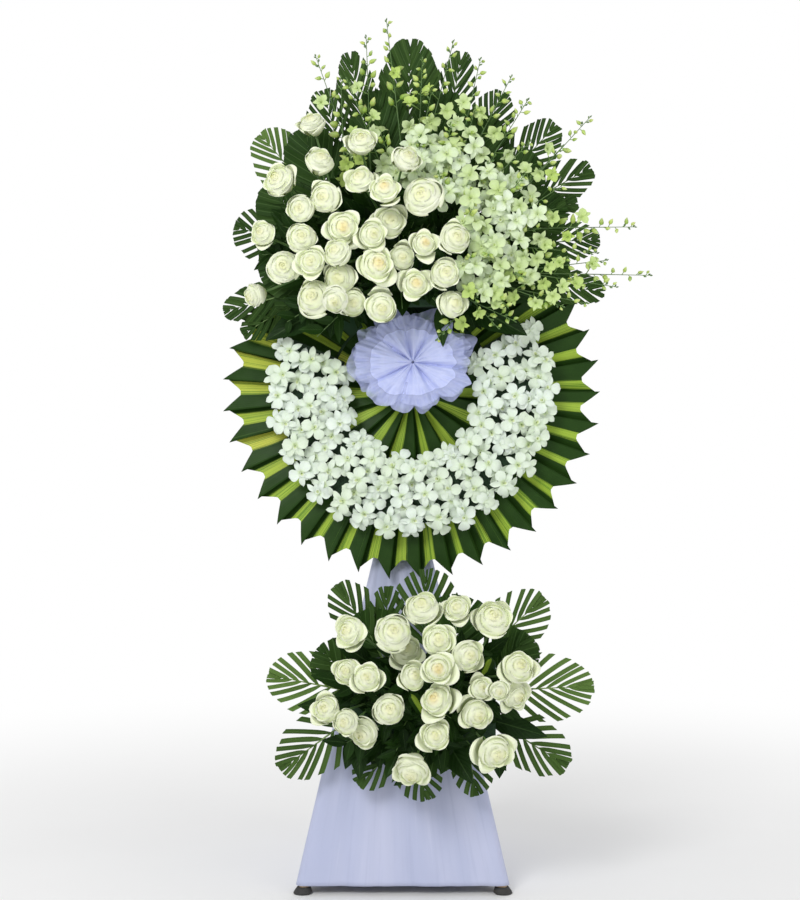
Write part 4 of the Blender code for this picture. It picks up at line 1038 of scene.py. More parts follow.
def rose_look():
    """Cream-white petals: greener at the foot, warmer at the heart, faintly veined and bruised."""
    look = Look("rose_petal", 0.50, Subsurface_Weight=0.30, Subsurface_Scale=0.010, **PETAL)
    share, v = look.flow(2), look.flow(1)
    outer = look.mix(look.noise(look.place(), 45.0), (0.79, 0.85, 0.58), (0.87, 0.91, 0.71))
    heart = look.mix(look.step(look.tone(), 0.4, 0.9), (0.84, 0.86, 0.50), (0.91, 0.80, 0.40))
    whole = look.mix(look.step(share, 0.05, 0.60), heart, outer)
    foot = look.mix(look.step(v, 0.08, 0.34), (0.66, 0.74, 0.36), whole)
    tip = look.over(foot, (0.92, 0.95, 0.84), 0.30, v, 0.88, 1.0)
    veins = look.streaks((26.0, 2.2, 40.0), 3.0)
    look.colour(look.over(tip, (0.70, 0.78, 0.46), 0.14, veins, 0.45, 0.75))
    look.roughness(veins, 0.42, 0.60)
    return look.bump(veins, 0.16, 0.0007).material


def grained_look(name, roughness, grain, dark, light, relief, shine=None, metallic=0.0):
    """Two colours mixed by one even grain, which may raise the surface and change its shine too."""
    look = Look(name, roughness, Metallic=metallic)
    noise = look.noise(look.place(), *grain)
    look.colour(look.mix(noise, dark, light))
    if shine:
        look.roughness(noise, *shine)
    if relief:
        look.bump(noise, *relief)
    return look.material


def orchid_look(name, white, veined, foot_share):
    """White florets with faint long veins and a small yellow-green throat, greener with the tone."""
    look = Look(name, 0.45, Subsurface_Weight=0.15, Subsurface_Scale=0.006, **PETAL)
    v, throat = look.flow(1), look.flow(2)
    veins = look.streaks((18.0, 1.6, 30.0))
    petal = look.mix(look.step(veins, 0.42, 0.70), white, veined)
    shaded = look.mix(look.tone(), petal, (0.45, 0.60, 0.15))
    foot = look.over(shaded, (0.58, 0.72, 0.26), 0.60, v, foot_share, 0.02)
    look.colour(look.over(foot, (0.66, 0.74, 0.30), 0.85, throat, 0.3, 1.0))
    look.roughness(veins, 0.36, 0.54)
    return look.bump(veins, 0.22, 0.0007).material


def bud_look():
    """Lime buds, paler at the tip, with darker ribs."""
    look = Look("orchid_bud", 0.38, Subsurface_Weight=0.12, Subsurface_Scale=0.004, Specular_IOR_Level=0.3)
    ribs = look.streaks((9.0, 0.6, 3.0))
    lime = look.mix(look.tone(), (0.24, 0.38, 0.05), (0.54, 0.66, 0.18))
    pale = look.over(lime, (0.72, 0.80, 0.42), 0.45, look.flow(1), 0.35, 0.95)
    look.colour(look.over(pale, (0.28, 0.44, 0.08), 0.6, ribs, 0.35, 0.8))
    return look.bump(ribs, 0.3, 0.0006).material


def stem_look(name, roughness, stretch, detail, colours, relief, *limits):
    """Green stems, lighter with the tone, streaked along their length."""
    look = Look(name, roughness)
    dark, light, streaked = colours
    streaks = look.streaks(stretch, detail)
    green = look.mix(look.tone(), dark, light)
    look.colour(look.over(green, streaked, 1.0, streaks, *limits))
    return look.bump(streaks, *relief).material


def palm_look():
    """Satin leaflets: long fine veins, lighter along the fold and fresher on some fronds."""
    look = Look("palm_leaflet", 0.48, Specular_IOR_Level=0.10)
    u = look.math("ABSOLUTE", look.flow(0))
    lines = look.waves(look.flow(0), 34.0)
    patch = look.noise(look.place(), 18.0, 3.0)
    dark = look.mix(patch, (0.010, 0.034, 0.004), (0.026, 0.066, 0.008))
    fresh = look.mix(patch, (0.085, 0.165, 0.030), (0.145, 0.245, 0.060))
    green = look.mix(look.tone(), dark, fresh)
    folded = look.over(green, (0.13, 0.24, 0.07), 0.35, u, 0.14, 0.0)
    look.colour(look.over(folded, (0.035, 0.085, 0.020), 0.16, lines, 0.2, 1.0))
    look.roughness(patch, 0.40, 0.55)
    return look.bump(lines, 0.25, 0.0003).material


def filler_look():
    """Dark glossy pointed leaves with a midrib and side veins."""
    look = Look("filler_leaf", 0.38, Specular_IOR_Level=0.10)
    u, v = look.math("ABSOLUTE", look.flow(0)), look.flow(1)
    veins = look.waves(look.math("MULTIPLY_ADD", u, -0.30, v), 58.0)
    patch = look.noise(look.place(), 25.0, 3.0)
    leaf = look.mix(patch, (0.004, 0.014, 0.002), (0.010, 0.034, 0.005))
    green = look.over(leaf, (0.022, 0.062, 0.008), 0.6, look.tone())
    ribbed = look.over(green, (0.06, 0.12, 0.035), 0.5, u, 0.10, 0.0)
    look.colour(look.over(ribbed, (0.03, 0.07, 0.02), 0.20, veins, 0.7, 1.0))
    look.roughness(patch, 0.30, 0.50)
    return look.bump(veins, 0.35, 0.0004).material


def strap_look():
    """Strap leaves: dark green with a lime stripe to one side of the fold, broken by fine dark lines; the
    dark green on the fold's other side is partly the leaf's own colour and partly painted shade.
    """
    look = Look("striped_leaf", 0.40, Specular_IOR_Level=0.12)
    across, along, tone = look.flow(0), look.flow(1), look.tone()
    sway = look.streaks((0.0, 9.0, 3.1))
    shift = look.math("MULTIPLY_ADD", look.math("ADD", sway, -0.5), 0.13, 0.15)
    off = look.math("ABSOLUTE", look.math("ADD", across, shift))
    half = look.math("MULTIPLY_ADD", tone, 0.15, 0.13)
    lines = look.streaks((30.0, 1.0, 7.7), 4.0, 0.7)
    frayed = look.math("MULTIPLY_ADD", lines, 0.28, -0.14)
    inside = look.step(look.math("ADD", look.math("SUBTRACT", half, off), frayed), 0.0, 0.045)
    lime = look.mix(look.step(tone, 0.50, 0.95), (0.30, 0.46, 0.035), (0.62, 0.60, 0.075))
    pale = look.over(lime, (0.42, 0.56, 0.09), 0.7, look.noise(look.place(), 14.0, 2.0))
    # The leaf's own dark green; on the board's folded leaves it fills the side of the fold away from the
    # stripe, and there it is also painted shade.
    margin = look.mix(look.noise(look.place(), 20.0, 3.0), (0.010, 0.034, 0.004), (0.026, 0.070, 0.010))
    shot = look.over(margin, (0.12, 0.25, 0.03), 0.6, lines, 0.68, 0.74)
    striped = look.over(pale, (0.07, 0.19, 0.02), 0.78, lines, 0.52, 0.57)
    look.colour(look.mix(inside, shot, striped))
    look.roughness(look.noise(along, 30.0), 0.34, 0.48)
    return look.bump(look.waves(across, 90.0), 0.22, 0.0003).material


def net_look(name, alpha):
    """Sheer lavender net: a fine mesh of threads with a soft sheen."""
    look = Look(name, 0.62, Alpha=alpha, Specular_IOR_Level=0.2)
    mesh = look.math("MAXIMUM", look.waves(look.flow(0), 420.0), look.waves(look.flow(1), 260.0))
    shade = look.mix(look.noise(look.place(), 40.0), (0.50, 0.56, 0.88), (0.60, 0.65, 0.95))
    look.colour(look.over(shade, (0.72, 0.76, 1.0), 0.20, mesh, 0.0, 1.0))
    return look.bump(mesh, 0.18, 0.0003).material


def cloth_look():
    """Pale lavender non-woven cloth with faint upright streaks and a mottle of fibres."""
    look = Look("skirt_cloth", 0.85, Specular_IOR_Level=0.2, Sheen_Weight=0.15, Sheen_Roughness=0.5)
    streaks = look.streaks((75.0, 3.0, 1.0), 4.0, 0.6)
    broad = look.streaks((9.0, 2.0, 1.0), 3.0)
    fibres = look.noise(look.place(), 520.0, 4.0, 0.7)
    base = look.mix(look.step(broad, 0.35, 0.65), (0.47, 0.51, 0.70), (0.55, 0.58, 0.76))
    streaked = look.over(base, (0.40, 0.44, 0.62), 0.40, streaks, 0.50, 0.72)
    bright = look.over(streaked, (0.68, 0.70, 0.86), 0.35, streaks, 0.42, 0.24)
    look.colour(look.over(bright, (0.62, 0.65, 0.84), 0.25, fibres))
    height = look.math("ADD", fibres, look.math("MULTIPLY", streaks, 0.8))
    return look.bump(height, 0.30, 0.0006).material


def timber_look(name, grain):
    """Plain sawn wood: long grain the way its scale is small, and darker pores."""
    look = Look(name, 0.62)
    wood = look.scaled(look.place(), grain)
    wave = {"Vector": wood, "Scale": 0.6, "Distortion": 5.0, "Detail": 3.0}
    rings = look.node("TexWave", wave).outputs["Fac"]
    pores = look.noise(look.scaled(wood, (7.0, 7.0, 7.0)), 1.0, 3.0)
    sawn = look.mix(rings, (0.50, 0.34, 0.18), (0.66, 0.50, 0.30))
    look.colour(look.over(sawn, (0.30, 0.19, 0.09), 0.5, pores, 0.55, 0.75))
    look.roughness(pores, 0.52, 0.72)
    return look.bump(look.math("ADD", rings, pores), 0.25, 0.0005).material


def foam_look(name, low, high):
    """Wet floral foam, all fine pores."""
    look = Look(name, 0.80)
    cells = look.node("TexVoronoi", {"Vector": look.place(), "Scale": 420.0}).outputs["Distance"]
    look.colour(look.mix(look.step(cells, 0.1, 0.7), low, high))
    return look.bump(cells, 0.5, 0.0008).material


def make_looks():
    """The materials of each kind of piece, in the order in which its sheets count them."""
    stem_greens = ((0.05, 0.12, 0.03), (0.22, 0.38, 0.09), (0.16, 0.24, 0.07))
    rib_greens = ((0.09, 0.19, 0.05), (0.30, 0.42, 0.12), (0.20, 0.30, 0.09))
    green = stem_look("green_stem", 0.45, (6.0, 40.0, 1.0), 3.0, stem_greens, (0.25, 0.0004), 0.45, 0.7)
    rib = stem_look("palm_rib", 0.42, (5.0, 60.0, 1.0), 2.0, rib_greens, (0.2, 0.0003))
    sepal, steel, rubber, paper = (grained_look(name, *given) for name, given in GRAINED.items())
    orchid = orchid_look("orchid_petal", (0.78, 0.86, 0.79), (0.66, 0.77, 0.63), 0.30)
    spray = orchid_look("spray_petal", (0.78, 0.87, 0.71), (0.58, 0.72, 0.42), 0.55)
    band_foam = foam_look("band_foam", (0.006, 0.020, 0.010), (0.020, 0.055, 0.022))
    floral_foam = foam_look("floral_foam", (0.006, 0.024, 0.009), (0.016, 0.056, 0.020))
    return {
        "timber": [timber_look("sawn_timber", (30.0, 30.0, 2.4)), steel, rubber],
        "batten": [timber_look("sawn_batten", (2.4, 30.0, 30.0))],
        "paper": [paper],
        "strap": [strap_look()],
        "band": [orchid, green, band_foam],
        "spray": [spray, green, bud_look()],
        "rose": [rose_look(), sepal, green],
        "frond": [palm_look(), rib],
        "filler": [filler_look(), green, floral_foam],
        "net": [net_look("net", 0.88), net_look("net_edge", 0.55)],
        "cloth": [cloth_look()],
    }


# Stage


def add_object(name, data):
    made = bpy.data.objects.new(name, data)
    bpy.context.scene.collection.objects.link(made)
    return made


def build_camera():
    """The camera, at the place of the one that took the photo."""
    camera = bpy.data.cameras.new("camera")
    camera.lens = camera.sensor_width * (ELEVATION_Y - EYE.y) / PICTURE_HEIGHT
    camera.shift_x = PICTURE_MIDDLE[0] / PICTURE_HEIGHT
    camera.shift_y = (PICTURE_MIDDLE[1] - EYE.z) / PICTURE_HEIGHT
    eye = add_object("camera", camera)
    eye.location = EYE + Vector(SHIFT)
    eye.rotation_euler = (math.radians(90), 0, 0)
    bpy.context.scene.camera = eye


def build_lights():
    """Three soft lamps, and a white world that lights the stand less than it shows."""
    for name, place, size, power in LAMPS:
        lamp = bpy.data.lights.new(name, "AREA")
        lamp.shape, lamp.size, lamp.energy = "DISK", size, power
        lit = add_object(name, lamp)
        lit.location = Vector(place)
        lit.rotation_euler = (LAMPS_AIM - Vector(place)).to_track_quat("-Z", "Y").to_euler()
    world = bpy.data.worlds.new("world")
    world.use_nodes = True
    sky = world.node_tree.nodes
    seen = sky.new("ShaderNodeLightPath").outputs["Is Camera Ray"]
    strength = sky.new("ShaderNodeMapRange")
    strength.inputs["To Min"].default_value, strength.inputs["To Max"].default_value = SKY_LIGHT, 1.0
    world.node_tree.links.new(seen, strength.inputs["Value"])
    world.node_tree.links.new(strength.outputs[0], sky["Background"].inputs["Strength"])
    sky["Background"].inputs["Color"].default_value = (1.0, 1.0, 1.0, 1.0)
    bpy.context.scene.world = world
    bpy.context.scene.view_settings.view_transform = "Standard"


def build_floor():
    """A pale floor that turns into the white background away from the stand."""
    mesh = bpy.data.meshes.new("floor")
    far = FLOOR_REACH
    mesh.from_pydata([(-far, -far, 0), (far, -far, 0), (far, far, 0), (-far, far, 0)], [], [(0, 1, 2, 3)])
    look = Look("pale_floor", 0.9, Specular_IOR_Level=0.0, Emission_Color=(1.0, 1.0, 1.0, 1.0))
    away = look.node("VectorMath", {0: look.place()}, operation="LENGTH").outputs["Value"]
    glow = look.step(away, *FLOOR_FADE)
    near = look.mix(look.noise(look.place(), 3.0), (0.90, 0.90, 0.90), (0.93, 0.93, 0.93))
    look.colour(look.mix(glow, near, (0.0, 0.0, 0.0)))
    look.feed(look.shader.inputs["Emission Strength"], glow)
    mesh.materials.append(look.material)
    floor = add_object("floor", mesh)


# Tripod, board and foam


def leg_line(side, z):
    """The middle of a leg at height z: side is -1 or 1 in front and 0 behind."""
    if side == 0:
        return REAR_FOOT.lerp(Vector((0, LEG_TOP_OUT, LEG_TOP_Z)), z / LEG_TOP_Z)
    foot = Vector((FRONT_FOOT.x * side, FRONT_FOOT.y, 0))
    return foot.lerp(Vector((LEG_TOP_OUT * side, -LEG_TOP_BACK, LEG_TOP_Z)), z / LEG_TOP_Z)


def turned_post(build, profile, line, sides=32, look=0):
    """A round post by (radius, height) pairs round the line's point at each height."""
    turns = full_turn(sides)
    radius, height = np.array(profile).T[..., None]
    middle = array([line(z) for _, z in profile])[:, None, :]
    flow = stack(turns / FULL_TURN, height, 0.0)
    build.sheets(middle + ring(turns, radius, 0.0), flow, 0.5, look, closed=True)


def mast_line(z):
    return Vector((0, 0, z))


def rounded(radius, low, high, ease):
    """A post's profile with eased edges at both ends."""
    rise = [math.radians(a) for a in (0, 30, 60, 90)]
    foot = [(radius - ease + ease * math.sin(a), low + ease - ease * math.cos(a)) for a in rise]
    head = [(radius - ease + ease * math.cos(a), high - ease + ease * math.sin(a)) for a in rise]
    return [(POINT, low), *foot, *head, (POINT, high)]


def build_tripod(looks):
    """Mast, collar with its screws, three legs with rubber shoes, and the battens' screws."""
    mast = Build()
    turned_post(mast, rounded(MAST_RADIUS, MAST_FOOT, MAST_TOP, EASED), mast_line)
    mast.piece("mast_wood", looks["timber"], ["mast"])
    collar = Build()
    turned_post(collar, rounded(COLLAR_RADIUS, COLLAR_LOW, COLLAR_HIGH, COLLAR_EASED), mast_line, 48)
    for turn in COLLAR_SCREWS:
        out = Vector((math.cos(turn), math.sin(turn), 0))
        head = out * COLLAR_RADIUS + mast_line(COLLAR_SCREW_HEIGHT)
        collar.tube(array([head * 0.999, head + out * COLLAR_SCREW[1]]), COLLAR_SCREW[0], SCREW_SIDES, 1)
    collar.piece("collar_wood", looks["timber"], ["collar"])
    shoe = [(POINT, 0.0), (SHOE_RADIUS - 0.002, 0.0), (SHOE_RADIUS, 0.002), (SHOE_RADIUS - 0.001, 0.006)]
    shoe += [(LEG_RADIUS * wider, SHOE_HEIGHT - lower) for wider, lower in ((1.3, 0.001), (1.2, 0), (1, 0))]
    for name, side in (("leg_front_left", -1), ("leg_front_right", 1), ("leg_rear", 0)):
        leg = Build()
        line = partial(leg_line, side)
        turned_post(leg, rounded(LEG_RADIUS, SHOE_HEIGHT / 2, LEG_TOP_Z, EASED), line)
        turned_post(leg, shoe, line, 32, 2)
        leg.piece(name + "_wood", looks["timber"], [name])
    for name, z in zip(("batten_lower", "batten_upper"), BATTEN_HEIGHTS):
        screws = Build()
        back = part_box(name)[1].y - SHIFT[1]
        radius, height = BATTEN_SCREW
        for x in BATTEN_SCREWS:
            place = Vector((x, back, z + math.copysign(0.004, x)))
            screws.tube(array([place, place + Vector((0, height, 0))]), radius, SCREW_SIDES, 0)
        screws.piece(name + "_screws", [looks["timber"][1]])


def build_board(looks):
    """The round board under crinkled paper, with an eased rim."""
    rng = np.random.default_rng(SEEDS["board"])
    board = Build()
    turns = full_turn(BOARD_SIDES)
    ease = BOARD_EASED
    profile = [(r, BOARD_BACK) for r in np.linspace(BOARD_POINT, BOARD_RADIUS - ease, 26)]
    profile += [(BOARD_RADIUS - ease * 0.3, BOARD_BACK - ease * 0.3), (BOARD_RADIUS, BOARD_BACK - ease)]
    profile += [(BOARD_RADIUS, BOARD_FRONT + ease), (BOARD_RADIUS - ease, BOARD_FRONT)]
    profile += [(BOARD_POINT, BOARD_FRONT)]
    radius, depth = np.array(profile).T[..., None]
    crinkle = rng.uniform(-BOARD_CRINKLE, 0.0, (len(profile), BOARD_SIDES)) * (depth > BOARD_BACK - 0.002)
    points = np.array(BOARD_CENTRE) + stack(np.cos(turns) * radius, depth + crinkle, np.sin(turns) * radius)
    board.sheets(points, stack(turns, radius, 0.0), closed=True)
    board.piece("board_paper", looks["paper"], ["board"])


def foam_block(build, foam, look):
    """A cut block of foam with slightly crushed edges."""
    made = bmesh.new()
    bmesh.ops.create_cube(made, size=1.0)
    low, high = foam
    for corner in made.verts:
        corner.co = Vector(low[k] + (corner.co[k] + 0.5) * (high[k] - low[k]) for k in range(3))
    bmesh.ops.bevel(made, geom=made.edges[:], offset=FOAM_EASED, segments=2, affect="EDGES", profile=0.6)
    made.verts.index_update()
    points = array([v.co for v in made.verts])
    for face in made.faces:
        index = [v.index for v in face.verts]
        if len(index) == 4:
            corners = points[[index[0], index[1], index[3], index[2]]].reshape(2, 2, 3)
            build.sheets(corners, corners, 0.5, look)
    made.free()


# Leaves on the board


def on_board(turn, radius, y):
    return stack(BOARD_CENTRE.x + np.cos(turn) * radius, y, BOARD_CENTRE.z + np.sin(turn) * radius)


def rim_limits(angle):
    """The radius at which a rim leaf starts, further out where the top foam is in its way, and its reach."""
    low, high = TOP_FOAM
    across, up = math.cos(angle), math.sin(angle)
    if up <= 0:
        return RIM_INNER, 1.0
    side = abs((high.x if across > 0 else low.x) - BOARD_CENTRE.x) + FOAM_CLEAR
    beside = side / max(abs(across), 1e-6)
    below = (low.z - BOARD_CENTRE.z - FOAM_CLEAR) / up
    return (max(RIM_INNER, beside) if beside > below else RIM_INNER), 1.0


def heart_limits(angle):
    """The same for a leaf of the heart, which reaches up to the top foam where no band is."""
    if not HEART_HIGH_FROM < angle % FULL_TURN < HEART_HIGH_TO:
        return HEART_INNER, 1.0
    return HEART_INNER, (TOP_FOAM[0].z - BOARD_CENTRE.z - 0.008) / math.sin(angle) / HEART_OUTER


def folded_leaf(build, first, pitch, limits_at, notch, tip, rng):
    """One strap leaf, folded down its middle, its outer end cut hollow, with the lapped edge turned in."""
    share = np.concatenate([[-0.05], np.linspace(0, 1, 15), [1.0, 0.985]])[None, :]
    v = np.linspace(0, 1, 14)[:, None]
    turn = first + pitch * share
    starts, reach = np.array([limits_at(t) for t in turn[0]]).T[:, None]
    low_side = np.clip((0.34 - share) / 0.34, 0, 1) ** 1.1 * (tip - notch) * 0.7
    high_side = np.clip((share - 0.50) / 0.50, 0, 1) ** 1.05 * (tip - notch)
    ends = (notch + low_side + high_side + rng.uniform(-0.003, 0.002)) * reach
    radius = starts + (ends - starts) * v
    arch = 0.0016 * np.sin(math.pi * share) * v
    crease = 0.0013 * np.exp(-(((share - 0.5) / 0.10) ** 2))
    y = LEAF_LOW + (LEAF_HIGH - LEAF_LOW) * share - arch + crease
    lift = rng.uniform(0.0, 0.003)
    y = y - lift * v**3 * np.sin(math.pi * np.clip(share, 0, 1))
    y = y + 0.0004 * np.sin(26 * v + rng.uniform(0, 6)) * np.sin(math.pi * share)
    y = np.broadcast_to(y, radius.shape).copy()
    y[:, -1] = LEAF_LOW
    points = on_board(turn, radius, y)
    # The lime stripe lies to one side of the fold, so the dark green on the other side is partly painted
    # shade of that side of the pleat as well as the leaf's own colour.
    across = stack(share - 0.5 - rng.uniform(-0.11, 0.09), radius, rng.uniform(0, 9))
    tone = np.clip(rng.uniform(0.0, 0.62) + (0.4 if math.cos(first + pitch / 2) < -0.80 else 0.0), 0, 1)
    build.sheets(points, across, tone)


def build_board_leaves(looks):
    """The rim's three runs of strap leaves, and the leaves inside the horseshoe."""
    rng = np.random.default_rng(SEEDS["board_leaves"])

    def build_run(name, start, pitch, leaves, *shape):
        run = Build()
        for k in leaves:
            folded_leaf(run, start + pitch * k, pitch, *shape, rng)
        run.piece(name + "_straps", looks["strap"], [name])

    pitch = (RIM_TO - RIM_FROM) / RIM_LEAVES
    for name, ends in RIM_RUNS.items():
        build_run(name, RIM_FROM, pitch, range(*ends), rim_limits, RIM_NOTCH, RIM_TIP)
    pitch = FULL_TURN / HEART_LEAVES
    build_run("heart_leaves", HEART_FROM, pitch, range(HEART_LEAVES), heart_limits, HEART_OUTER, HEART_OUTER)


# Orchids


def tepal(length, half_width, widest, tip_power, cup, curl):
    """One petal lying along +X of a floret that faces +Z: rounded, cupped, its end rolled back."""
    v, u = grid(8, 7, (0.02, 1.0))
    width = half_width * np.maximum(np.sin(math.pi * v**widest), 0.0) ** tip_power
    width = np.maximum(width, 0.06 * half_width)
    x = length * (v - 0.03 * v**3 * u**2)
    z = cup * np.sin(math.pi * v * 0.9) - curl * v**2.4 + 0.30 * half_width * u**2 * np.sin(math.pi * v)
    return stack(x, width * u, z), stack(u, v, 0.0)


def add_floret(build, centre, axis, radius, spin, root, rng, tone, opened=1.0):
    """A dendrobium floret: three sepals, two broad petals, a lip with its column, and the stalk."""
    axes = axes_round(Vector(axis), spin)
    for turn, length, half_width, widest, power in FLORET_PETALS:
        half_width *= rng.uniform(0.9, 1.08)
        points, flow = tepal(length, half_width, widest, power, 0.12, rng.uniform(0.06, 0.30))
        points[..., 2] += 0.05 if half_width > 0.4 else 0.0
        points[..., 2] += rng.uniform(-0.03, 0.03) * np.sin(flow[..., 0] * 3) * flow[..., 1]
        rise = (1 - opened) * rng.uniform(0.9, 1.3)
        lifted = points[..., 0] * math.sin(rise) + points[..., 2] * math.cos(rise)
        points[..., 0] = points[..., 0] * math.cos(rise) - points[..., 2] * math.sin(rise) + 0.03
        points[..., 2] = lifted
        angle = turn + rng.uniform(-0.10, 0.10)
        c, s = math.cos(angle), math.sin(angle)
        x, y, z = np.moveaxis(points, -1, 0)
        build.sheets(set_in(stack(x * c - y * s, x * s + y * c, z), centre, axes, radius), flow, tone, 0)
    v, turn = round_grid(5, 8)
    open_side = 0.75 + 0.55 * np.cos(turn - math.pi)
    reach = 0.06 + (0.17 * open_side + 0.02) * v**0.8
    height = 0.03 + 0.24 * v - 0.10 * v**3 * open_side
    lip = stack(np.cos(turn) * reach - 0.05, np.sin(turn) * reach * 0.85, height)
    build.sheets(set_in(lip, centre, axes, radius), stack(turn, 1.0, 1 - v), tone, 0, closed=True)
    line = array([root, Vector(root).lerp(centre, 0.6), centre - axes[2] * radius * 0.05])
    build.tube(line, np.array([0.0011, 0.0011, radius * 0.10]), 6, 1, 0.9)


def band_places(first, last, seed):
    """Middle, axis, turn and root of the part's own florets in this stretch, then of the extra ones."""
    rng = random.Random(seed)
    places = []

    def put(angle, radius, jitter, level, tilt, lean, inset, depth):
        """One floret near this angle and radius, its root this far inside the pad's edges and surface."""
        out = Vector((math.cos(angle), 0, math.sin(angle)))
        centre = Vector(on_board(angle, radius + rng.uniform(-jitter, jitter), PAD_FRONT - level))
        axis = Vector((rng.uniform(-tilt, tilt), -1, rng.uniform(-tilt, tilt))) + out * lean
        root = on_board(angle, clamp(radius, PAD_INNER + inset, PAD_OUTER - inset), PAD_FRONT + depth)
        places.append((centre, axis, rng.uniform(0, FULL_TURN), Vector(root)))

    for row, radius in enumerate(BAND_ROWS):
        count = round((last - first) * radius / BAND_PITCH)
        for k in range(count):
            angle = first + (last - first) * (k + 0.5) / count
            step = 2 if k == 0 else 0 if k == count - 1 else (k + 2 * row) % 3
            level = BAND_LEVEL + BAND_LEVEL_STEP * step
            put(angle, radius, 0.003, level, 0.08, 0.16 * (row - 1), 0.018, 0.012)
    for row, radius in enumerate(MORE_BAND_ROWS):
        count = round((last - first) * radius / BAND_PITCH / MORE_BAND_LOOSER)
        for k in range(count):
            angle = first + (last - first) * (k + 0.5 + rng.uniform(-0.15, 0.15)) / count
            level = MORE_BAND_LEVEL + MORE_BAND_LEVEL_STEP * ((k + row) % 3)
            put(angle, radius, 0.004, level, 0.2, 0.22 * (row - 1.5), 0.012, 0.010)
    return places


def build_band(looks):
    """The three stretches of the horseshoe: the foam pad with its florets."""
    half_gap = GAP / 2 / PAD_INNER
    for k, name in enumerate(("orchid_band_left", "orchid_band_foot", "orchid_band_right")):
        first, last = BAND_CUTS[k] + half_gap, BAND_CUTS[k + 1] - half_gap
        band = Build()
        rng = np.random.default_rng(SEEDS["band_florets"] + k)
        section = [(PAD_INNER, PAD_BACK), (PAD_INNER, PAD_FRONT + 0.006), (PAD_INNER + 0.016, PAD_FRONT)]
        section += [(PAD_OUTER - 0.016, PAD_FRONT), (PAD_OUTER, PAD_FRONT + 0.006), (PAD_OUTER, PAD_BACK)]
        turns = np.linspace(first, last, 40)[:, None]
        radius, depth = np.array(section).T[:, None]
        band.sheets(on_board(turns, radius, depth), stack(turns, radius, depth), 0.5, 2, closed=True)
        for end in (first, last):
            cut = on_board(end, *grid(2, 2, (PAD_INNER, PAD_OUTER), (PAD_BACK, PAD_FRONT + 0.003)))
            band.sheets(cut, cut, 0.5, 2)
        for centre, axis, spin, root in band_places(first, last, SEEDS["band"] + k):
            add_floret(band, centre, axis, BAND_FLORET, spin, root, rng, rng.uniform(0.0, 0.22))
        band.piece(name + "_florets", looks["band"], [name])


def add_bud(build, root, out, length, rng, look=2):
    """A plump pointed bud on a short stalk, its tip a little bent."""
    axes = axes_round(out, rng.uniform(0, 6))
    v, turn = round_grid(9, 8)
    fat = length * rng.uniform(0.17, 0.22)
    body = v * 0.68 + 0.32
    swell = np.sin(math.pi * v**0.80) ** 0.75 * (1 - 0.20 * v)
    reach = np.maximum(1.2 * fat * swell * (1 + 0.06 * np.cos(3 * turn)), 0.0003)
    bend = length * 0.22 * v**2
    local = stack(np.cos(turn) * reach + bend, np.sin(turn) * reach, body * length)
    tone = rng.uniform(0, 1) * (1.0 if look == 2 else 0.35)
    build.sheets(set_in(local, root, axes, 1.0), stack(turn, v, 0.0), tone, look, closed=True)
    build.tube(array([root, root + out * length * 0.34]), np.array([0.0007, 0.0009]), 5, 1, 0.9)


def build_sprays(bunches, room, looks):
    """The dendrobium sprays, with darker and more closed florets away from the middle of the bouquet."""
    rng = np.random.default_rng(SEEDS["spray_florets"])
    for group, (root, out, lines) in bunches.items():
        bunch = Build()
        bunch.tube(array([root - out * PEG_DEPTH, root + out * SPRAY_HEAD]), PEG, 8, 1, 0.5)
        for points, florets, buds in lines:
            line = array(smooth_line(points, 24))
            shares = np.linspace(0, 1, len(line))
            bunch.tube(line, 0.0019 - 0.0013 * shares, 6, 1, 0.12)
            add_tip(bunch, points, rng)
            for centre, axis, spin, foot in florets:
                away = math.hypot(centre.x - WHITE_MIDDLE[0], centre.z - WHITE_MIDDLE[1])
                late = np.clip((away - WHITE_REACH) / WHITE_FADE + rng.uniform(-0.35, 0.35), 0, 1)
                tone = np.clip(rng.uniform(0.0, 0.30) + (rng.uniform() < 0.30) * 0.35 + 0.65 * late, 0, 1)
                opened = 1 - 0.30 * rng.uniform(0.0, 1.0) - 0.50 * late
                axis = axis + Vector(rng.uniform(-0.55, 0.55, 3))
                radius = FLORET_RADIUS * (1.04 - 0.26 * late)
                add_floret(bunch, centre, axis, radius, spin, foot, rng, tone, opened)
            for foot, way, length in buds:
                add_bud(bunch, foot, way, length, rng)
            add_more_buds(bunch, points, room, rng)
        bunch.piece(f"spray_{group}_florets", looks["spray"], [f"spray_{group}"])


def add_more_buds(build, points, room, rng):
    """Buds along the outer part of a spray, in turn to both sides, smaller towards its end."""
    for k in range(MORE_BUDS):
        share = 0.52 + 0.44 * (k + rng.uniform(0.0, 0.8)) / MORE_BUDS
        point, ahead = along_curve(points, share)
        side = ahead.cross(FRONT).normalized() * (1 if k % 2 else -1)
        aside = Vector((rng.uniform(-0.4, 0.4), rng.uniform(-0.9, 0.2), rng.uniform(-0.4, 0.4)))
        way = (side * rng.uniform(0.4, 1.0) + ahead * rng.uniform(0.2, 1.0) + aside).normalized()
        length = rng.uniform(0.024, 0.033) * (1.15 - 0.55 * (share - 0.5) / 0.45)
        if room.gap(point + way * length * 0.5, point + way * length, length * 0.25, None, ("head",)) > 0:
            add_bud(build, point, way, length, rng)


def smooth_line(points, count):
    """The points' line drawn out in a smooth curve."""
    spots = array(points)
    at = np.linspace(0, len(spots) - 1, count)
    low = np.clip(at.astype(int), 0, len(spots) - 2)
    t = (at - low)[:, None]
    before, a = spots[np.maximum(low - 1, 0)], spots[low]
    b, after = spots[low + 1], spots[np.minimum(low + 2, len(spots) - 1)]
    return (
        a
        + 0.5 * t * (b - before)
        + t**2 * (before - 2.5 * a + 2 * b - 0.5 * after)
        + t**3 * (1.5 * (a - b) + 0.5 * (after - before))
    )


